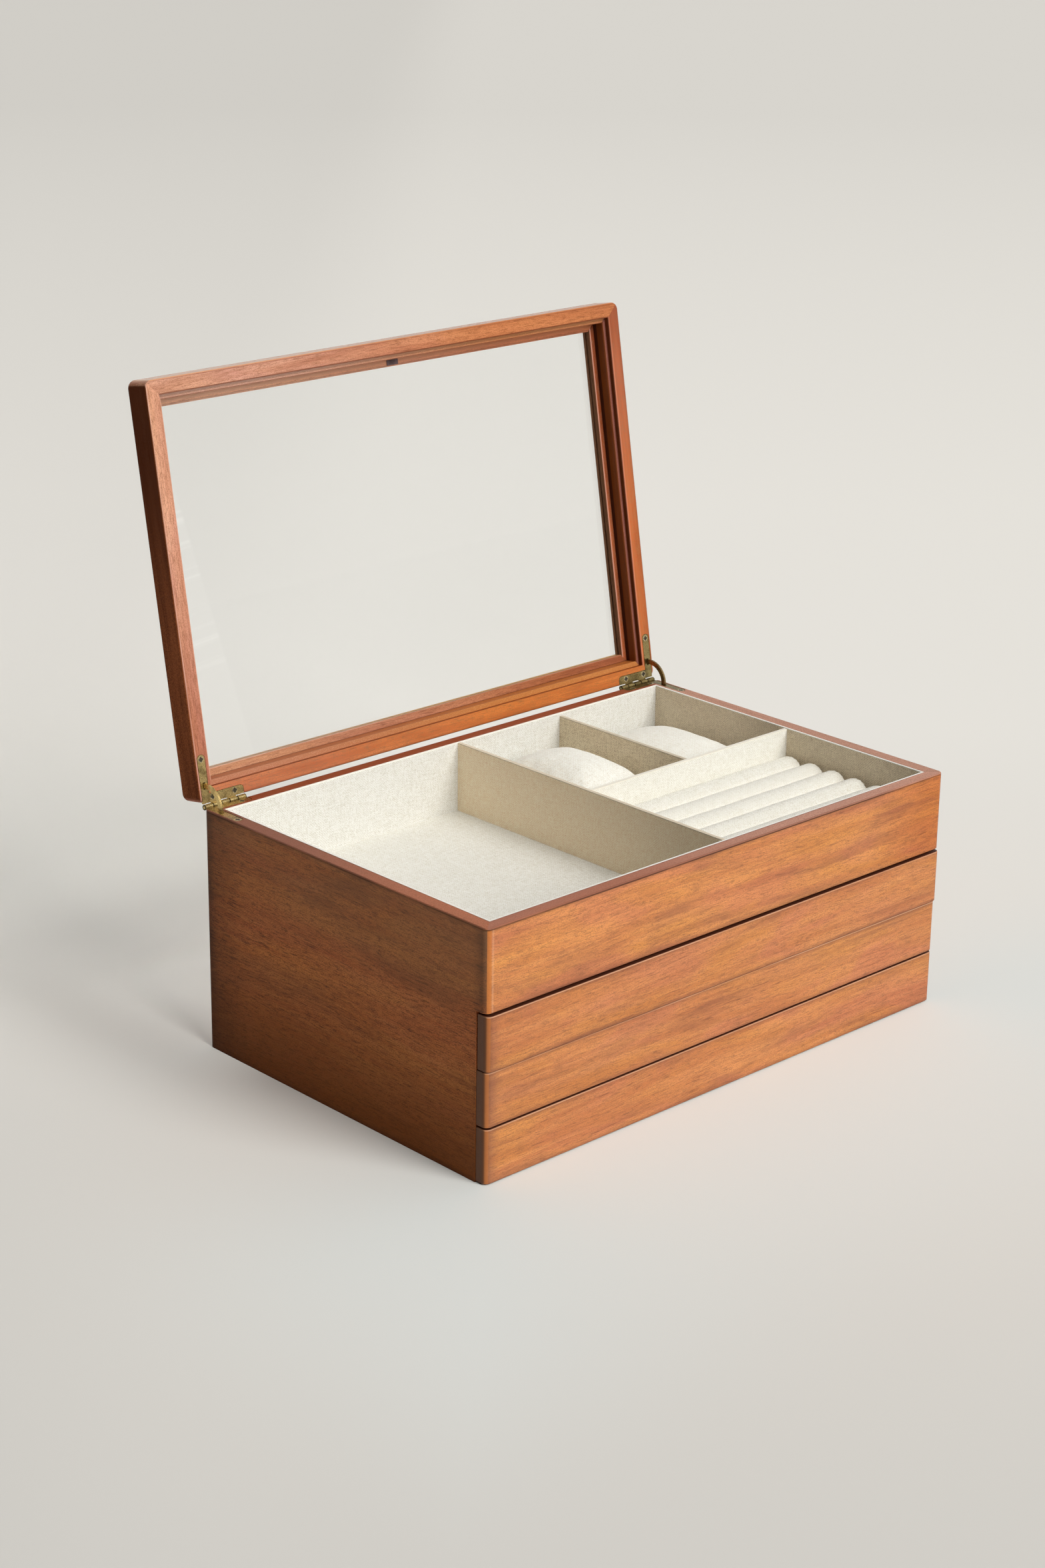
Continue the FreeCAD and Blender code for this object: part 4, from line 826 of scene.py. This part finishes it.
# ---------- lid frame
# Four mitred members, stepped inside, with a mitred bead in each, in the same wood but each
# with its own stain.  Their steps carry painted shade in the recesses and painted light where
# shade falls on the front ledge and bead, and the right stile and bead are darker, partly as
# painted shade.  The grain follows each member, so its own axes are found by turning the open
# lid shut.
LID_ANGLE = math.radians(99.95)
HINGE_AXIS = Vector((0.0, 0.0987, 0.12037))
LID_SIDE, LID_BACK, LID_FRONT, LID_FACE = 0.15, -0.00145, -0.19845, 0.00053
MITRE_TONE = 0.002
# Depths are up from the shut lid's underside, insets are in from its outer edge.
ARRIS_DEPTH, FACE_START, FACE_END = 0.0006, 0.0001, 0.0026
LEDGE, STIPPLED, LEDGE_END, REBATE_DARK, BEAD_WALL = 0.0027, 0.0028, 0.0031, 0.007, 0.0096
EDGE_GRAIN, OUTER_ARRIS, STEPS_INSET, RIGHT_HIGHLIGHT, FRONT_TONED = 0.0003, 0.001, 0.0055, 0.0065, 0.0068
GLINT_END, RIGHT_STEP, FRONT_STEP, LIP_INSET = 0.0082, 0.0088, 0.0094, 0.0105
BEAD_FOOT, BEAD_HIGHLIGHT, BEAD_FACE, BEAD_ARRIS, BEAD_SHADED = 0.01, 0.0119, 0.0126, 0.0132, (0.011, 0.013)
FADE = {"left": (-0.13, -0.01), "right": (-0.16, -0.07), "front": (-0.1, 0.08), "back": (-0.13, 0.06)}
BEAD_FADE = dict(FADE, front=(-0.13, 0.12), back=(-0.13, 0.12))
NEAR_END, LOWER_END = (-0.16, -0.195), (-0.17, -0.06)
# The step, rebate and dark tones paint shade in the recesses, and glint paints light that lifts the ledge's
# shade.
FRONT_RAIL = dict(STAIN, amber=(0.713, 0.385, 0.27), rust=(0.518, 0.23, 0.144), umber=(0.32, 0.117, 0.07),
                  speck=(0.3, 0.13, 0.07), deep=(0.83, 0.58, 0.31), rubbed=(0.8, 0.5, 0.4),
                  step=(0.25, 0.1, 0.06), ledge=(0.6, 0.33, 0.235), glint=(0.95, 0.62, 0.5),
                  rebate=(0.3, 0.12, 0.07), lip=(0.4, 0.24, 0.18), end=(0.6, 0.28, 0.14))
BACK_RAIL = dict(FRONT_RAIL, amber=(0.6, 0.205, 0.088), rust=(0.44, 0.12, 0.046), umber=(0.28, 0.07, 0.028),
                 deep=(1.06, 0.95, 0.46), step=(0.2, 0.045, 0.012), ledge=(0.45, 0.185, 0.098),
                 rebate=(0.352, 0.117, 0.05), lip=(0.41, 0.257, 0.161), end=(0.22, 0.1, 0.05))
LEFT_STILE = dict(FRONT_RAIL, amber=(0.74, 0.4, 0.27), rust=(0.54, 0.235, 0.145), umber=(0.32, 0.12, 0.075),
                  deep=(0.71, 0.54, 0.49), rubbed=(0.75, 0.45, 0.36), end=(0.078, 0.014, 0.0),
                  lower=(0.38, 0.115, 0.04))
# The right stile's tones are darker, partly painted shade, as its inner faces turn from the lamp.
RIGHT_STILE = dict(FRONT_RAIL, amber=(0.44, 0.118, 0.05), rust=(0.33, 0.078, 0.032),
                   umber=(0.2, 0.046, 0.018), deep=(1.22, 1.18, 0.8), rubbed=(0.6, 0.23, 0.14),
                   step=(0.105, 0.024, 0.004), ledge=(0.27, 0.1, 0.075), rebate=(0.175, 0.043, 0.005),
                   lip=(0.2, 0.09, 0.044), end=(0.2, 0.07, 0.03))
# The front bead's shaded tone is painted light that lifts the shade on the bead.
FRONT_BEAD = dict(FRONT_RAIL, amber=(0.9, 0.5, 0.32), rust=(0.74, 0.37, 0.22), umber=(0.5, 0.22, 0.13),
                  deep=(0.8, 0.5, 0.34), shaded=(1.0, 0.6, 0.42))
BACK_BEAD = dict(BACK_RAIL, amber=(0.62, 0.325, 0.19), rust=(0.45, 0.195, 0.105), umber=(0.28, 0.105, 0.055),
                 deep=(0.72, 0.5, 0.36))
# The right bead's tones are darker, partly painted shade, and its shaded tone paints the shadow beside the
# pane.
RIGHT_BEAD = dict(RIGHT_STILE, amber=(0.4, 0.088, 0.0225), rust=(0.285, 0.056, 0.016),
                  umber=(0.17, 0.042, 0.016), deep=(1.3, 1.42, 1.45), rubbed=(0.66, 0.33, 0.25),
                  shaded=(0.086, 0.036, 0.016))


def lid_place(finish):
    """A place on the open lid, turned back to the shut lid's square axes."""
    centred = finish.node("VectorMath", {"operation": "SUBTRACT"}, {0: finish.place(), 1: HINGE_AXIS})
    return finish.node("VectorRotate", {"rotation_type": "X_AXIS"}, {"Vector": centred, "Angle": LID_ANGLE})


def bead_layers(grain, side, inset, depth, away):
    """A bead from its foot in the rebate, painted as shade, over its arris, to the pane's wall."""
    grainy = grain["band"].ramp(0.3, 0.7) * 0.15 + 0.85
    wall = (beyond(depth, BEAD_WALL) * grainy, "lip")
    # Painted shade in the corner at the bead's foot.
    foot = (short_of(inset, BEAD_FOOT) * 0.6, "dark")
    far = (away, "deep")
    if side == "right":
        # The right bead: a painted highlight on its arris, then painted shadow beside the pane.
        return [far, (beyond(inset, BEAD_HIGHLIGHT) * (grain["broken"] * 0.3 + 0.55), "rubbed"),
                (beyond(inset, BEAD_FACE), "shaded"), wall]
    if side == "front":
        # The front bead: painted light lifts the shade cast on it by the rail.
        return [(inset.ramp(*BEAD_SHADED, 0.95, 0.0), "shaded"), foot,
                (beyond(inset, BEAD_FACE) * 0.6, "lip"), wall, far]
    # The paler arris carries a painted highlight as well as wear.
    return [foot, (beyond(inset, BEAD_ARRIS) * grain["broken"] * 0.4, "rubbed"), wall, far]


def member_layers(grain, side, inset, depth, away, flank, y):
    """A member from its outer arris, down steps with painted shade, to the lip that holds the pane."""
    grainy = grain["band"].ramp(0.3, 0.7) * 0.15 + 0.85
    steps, ledge, under = beyond(inset, STEPS_INSET), beyond(depth, LEDGE), beyond(depth, LEDGE_END)
    arris = short_of(inset, OUTER_ARRIS) * short_of(depth, ARRIS_DEPTH)
    above = short_of(depth, FACE_END)
    if side == "left":
        # Painted highlight on the left stile's outer arris, with wear.
        layers = [(arris * beyond(inset, EDGE_GRAIN) * (grain["broken"] * 0.4 + 0.15), "rubbed")]
    elif side == "right":
        layers = [(arris * grain["broken"] * 0.1, "umber")]
    else:
        layers = [(arris * (grain["broken"] * 0.35 + 0.2), "umber")]
    stipple = grain["pore"].ramp(0.52, 0.64) * (0.6 if side == "front" else 0.2)
    # The step walls and rebates take dark tones: painted shade in the recesses.
    layers += [(steps * beyond(depth, FACE_START) * grainy, "step"),
               (steps * ledge * grainy, "ledge"),
               (steps * beyond(depth, STIPPLED) * stipple, "rubbed"),
               (steps * under * grainy, "rebate")]
    if side == "right":
        # The right stile: painted shade at its ledge's edge and deep in its rebate, and a painted highlight
        # on its face's inner arris.
        layers += [(steps * beyond(inset, RIGHT_STEP) * (ledge - under), "step"),
                   (steps * beyond(depth, REBATE_DARK), "dark"),
                   (beyond(inset, RIGHT_HIGHLIGHT) * short_of(depth, ARRIS_DEPTH) * 0.6, "rubbed"),
                   (y.ramp(*NEAR_END) * above * 0.4, "umber")]
    if side == "front":
        # The front rail: a toned line on the face's inner edge, painted light lifting the ledge's shade by
        # the step, and painted shade at the ledge's foot.
        layers += [(beyond(inset, FRONT_TONED, 0.0002) * above * 0.9, "toner"),
                   (steps * ledge * short_of(inset, GLINT_END) * 0.8, "glint"),
                   (steps * ledge * beyond(inset, FRONT_STEP), "step")]
    layers += [(beyond(inset, LIP_INSET) * grainy, "lip"),
               (flank * (grainy if side == "front" else 0.95), "end")]
    if side == "left":
        mottle = grain["pore"].ramp(0.4, 0.62) * 0.45 + grain["band"].ramp(0.3, 0.65) * 0.45
        layers.append((flank * y.ramp(*LOWER_END) * mottle, "lower"))
    return [(away, "deep")] + layers if side in ("left", "right") else layers + [(away, "deep")]


def lid_board(side, bead):
    """A member of the lid frame or the bead in it; its steps carry painted shade and light."""
    def board(finish):
        x, y, z = axes = finish.axes(lid_place(finish))
        run, thick = GRAIN_ALONG["Y" if side in ("left", "right") else "X"]
        axis, edge, way = {"left": (x, -LID_SIDE, 1.0), "right": (x, LID_SIDE, -1.0),
                           "front": (y, LID_FRONT, 1.0), "back": (y, LID_BACK, -1.0)}[side]
        inset, depth = (axis - edge) * way, z - LID_FACE
        flank = inset.ramp(*END_GRAIN, 1.0, 0.0)
        limits = [(x, -LID_SIDE, LID_SIDE, MITRE_TONE), (y, LID_FRONT, LID_BACK, MITRE_TONE)]
        away = axes[run].ramp(*(BEAD_FADE if bead else FADE)[side])

        def layers(grain):
            if bead:
                return bead_layers(grain, side, inset, depth, away)
            return member_layers(grain, side, inset, depth, away, flank, y)

        place = finish.joined(axes[run], axes[thick], z)
        return place, limits, layers, flank if side == "front" else None
    return board


MEMBERS = (
    ("lid_rail_front", "front", FRONT_RAIL, 0.15), ("lid_rail_back", "back", BACK_RAIL, 0.2),
    ("lid_stile_left", "left", LEFT_STILE, 0.02), ("lid_stile_right", "right", RIGHT_STILE, 0.08),
    ("glazing_bead_front", "front", FRONT_BEAD, 0.15), ("glazing_bead_back", "back", BACK_BEAD, 0.2),
    ("glazing_bead_left", "left", FRONT_BEAD, 0.1), ("glazing_bead_right", "right", RIGHT_BEAD, 0.08),
)
for seed, (node, side, stain, gloss) in enumerate(MEMBERS, start=11):
    board = lid_board(side, bead=node.startswith("glazing"))
    stain_board(node, board, seed, stain, toned=0.25, gloss=gloss, speckle=1.9, hues=0.35)

# ---------- pane
# One sheet of clear float glass.  Lamps shine through it, and a faint painted reflection
# glows in streaks on its upper left.
OPEN_AIR = (0.78, 0.79, 0.785)
REFLECTION_COLOUR = (1.0, 1.0, 0.97)
REFLECTION_LEVEL, STREAK_LEVEL = 0.009, 0.026
REFLECTION_LEFT, REFLECTION_SLANT, SLANT_START = 0.133, 0.198, -0.146
REFLECTION_FRONT, REFLECTION_RIGHT, STREAKED = -0.15, -0.1, (-0.045, -0.075)
STREAK_STRETCH, STREAK_SLANT = 0.05, 0.1


def clear_glass():
    glass = Finish("clear_glass", {"Base Color": (0.99, 1.0, 1.0, 1.0), "Roughness": 0.0, "IOR": 1.5,
                                   "Transmission Weight": 1.0, "Emission Strength": 1.0})
    x, y, _ = glass.axes(lid_place(glass))
    slanted = beyond((y - SLANT_START) * REFLECTION_SLANT - x, REFLECTION_LEFT, 0.0006)
    wedge = slanted * beyond(y, REFLECTION_FRONT, 0.01) * short_of(x, REFLECTION_RIGHT, 0.002)
    reflection_place = glass.joined(x * STREAK_STRETCH, y + x * STREAK_SLANT, 0.0)
    streaks = glass.noise(reflection_place, (60.0, 210.0, 1.0), 2.0, 0.7).ramp(0.5, 0.68) * y.ramp(*STREAKED)
    # Painted reflection: a faint streaky glow on the pane's upper left.
    painted_reflection = wedge * (streaks * STREAK_LEVEL + REFLECTION_LEVEL)
    glass.feed({"Emission Color": glass.mix(painted_reflection, BLACK, REFLECTION_COLOUR)})
    for_lamps = glass.node("LightPath", {}, {}, "Is Shadow Ray")
    solid = Reading(glass, glass.shader.outputs["BSDF"])
    open_air = glass.node("BsdfTransparent", {}, {"Color": OPEN_AIR})
    glass.show(glass.node("MixShader", {}, {0: for_lamps, 1: solid, 2: open_air}))
    return glass.material


coat_node("glass_pane", clear_glass())

# ---------- brass
# Stamped brass hinge leaves, drawn pins and stays, dipped to an olive antique tone, with
# a fine tumbled surface; the right hand's set is darker, and the case leaves take darker
# tones as painted shade.  The screws' cross slots hold the dip's black, and the gaps between
# the hinges' knuckles are black too: the dip's black and painted shade between the knuckles.
KNUCKLES, KNUCKLE_GAP, BARREL = 5, 0.00012, 0.00145
GAP_BLACK, SLOT_BLACK = (0.03, 0.02, 0.008), (0.012, 0.01, 0.008)
SLOT_DEPTH, SLOT_CROSSING, HEAD_EDGE = 0.00012, (0.00068, 0.00042), (0.00118, 0.00136)
CASE_LEAF_SHADE, BRASS_RELIEF = 0.75, 0.00004
LEAF_SATIN, PIN_SATIN, HEAD_SATIN = 0.24, 0.2, 0.22
HEAD_BRASS = (0.7, 0.58, 0.33), (0.34, 0.26, 0.14)
# Each hand's hinge in its bright and dark tone, then its stay and how dull that is.
HANDS = (
    ("left", (0.62, 0.47, 0.21), (0.23, 0.17, 0.07), (0.66, 0.49, 0.2), (0.26, 0.19, 0.075), 0.22),
    ("right", (0.36, 0.28, 0.12), (0.11, 0.085, 0.035), (0.3, 0.21, 0.1), (0.12, 0.08, 0.035), 0.26),
)


def dip(node, bright, dark, roughness, slots=None, pin=None):
    """Gives a fitting the dip's cloudy tone; slots are screws' marks, pin is a hinge's pin."""
    finish = Finish(node + "_metal", {"Metallic": 1.0})
    place = finish.place()
    patina = finish.noise(place, (260.0, 260.0, 260.0), 2.0, 0.5)
    tumbled = finish.noise(place, (2200.0, 2200.0, 2200.0), 2.0, 0.6)
    tone = patina.ramp(0.24, 0.6) * 0.75 + tumbled.ramp(0.35, 0.62) * 0.25
    colour = finish.mix(tone, dark, bright)
    readings = {"Roughness": tumbled.ramp(0.3, 0.7) * 0.12 + roughness,
                "Normal": finish.bump(tumbled * 0.3 + patina * 0.7, BRASS_RELIEF)}
    if pin is not None:
        x, y, z = finish.axes(place)
        low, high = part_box(pin)
        pitch = (high.x - low.x + KNUCKLE_GAP) / KNUCKLES
        along = (x - (low.x - KNUCKLE_GAP / 2)) * (math.pi / pitch)
        gap = (along.wave() * along.wave()).ramp(0.06, 0.025)
        above, behind = z - (low.z + high.z) / 2, y - (low.y + high.y) / 2
        barrel = short_of(above * above + behind * behind, BARREL ** 2, 0.0000002)
        # Black in the gaps between knuckles: the dip's black, and painted shade between the knuckles.
        colour = finish.mix(gap * barrel * 0.9, colour, GAP_BLACK)
    if slots is not None:
        sunk = slots(finish)
        colour = finish.mix(sunk, colour, SLOT_BLACK)
        readings["Metallic"] = 1.0 - sunk
    readings["Base Color"] = colour
    coat_node(node, finish.feed(readings))


def screw_tops(node, outward):
    """The middle of each screw's flat head in a set; outward is the way the heads face."""
    bm = bmesh.new()
    bm.from_mesh(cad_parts[node].data)
    waiting, tops = dict.fromkeys(bm.verts), []
    while waiting:
        edge, island = [waiting.popitem()[0]], []
        while edge:
            vert = edge.pop()
            island.append(vert.co.copy())
            near = [link.other_vert(vert) for link in vert.link_edges]
            edge += [other for other in near if other in waiting]
            for other in near:
                waiting.pop(other, None)
        middle = sum(island, Vector()) / len(island)
        tops.append(middle + outward * max((spot - middle).dot(outward) for spot in island))
    bm.free()
    return tops


def head_marks(node, outward):
    """The dip's black in the heads' cross slots and round their rims."""
    tops = screw_tops(node, outward)

    def marks(finish):
        place = finish.place()
        off = reduce(Reading.least, [finish.node("VectorMath", {"operation": "DISTANCE"},
                                                 {0: place, 1: top}, "Value") for top in tops])
        level = finish.node("VectorMath", {"operation": "DOT_PRODUCT"}, {0: place, 1: outward}, "Value")
        sunk = short_of(level, tops[0].dot(outward) - SLOT_DEPTH, 0.00004)
        return sunk.most(off.ramp(*HEAD_EDGE) * 0.9).most(off.ramp(*SLOT_CROSSING) * 0.9)
    return marks


for hand, bright, dark, *stay in HANDS:
    pin = f"hinge_{hand}_pin"
    # Painted shade: the case leaves take darker tones than the lid leaves.
    lower = [tuple(part * CASE_LEAF_SHADE for part in tone) for tone in (bright, dark)]
    dip(f"hinge_{hand}_lid_leaf", bright, dark, LEAF_SATIN, pin=pin)
    dip(f"hinge_{hand}_case_leaf", *lower, LEAF_SATIN, pin=pin)
    dip(pin, bright, dark, PIN_SATIN)
    dip(f"stay_{hand}", *stay)

up = Vector((0, 0, 1))
for part, outward in (("case", up), ("lid", Matrix.Rotation(-LID_ANGLE, 3, "X") @ -up)):
    node = part + "_hinge_screws"
    dip(node, *HEAD_BRASS, HEAD_SATIN, head_marks(node, outward))

# ---------- glass clip
# A small plate of blackened steel that lies on the front bead, a little right of its
# middle.
STEEL, STEEL_DARK, STEEL_SATIN = (0.16, 0.115, 0.12), (0.07, 0.045, 0.045), 0.4

dip("glass_clip", STEEL, STEEL_DARK, STEEL_SATIN)
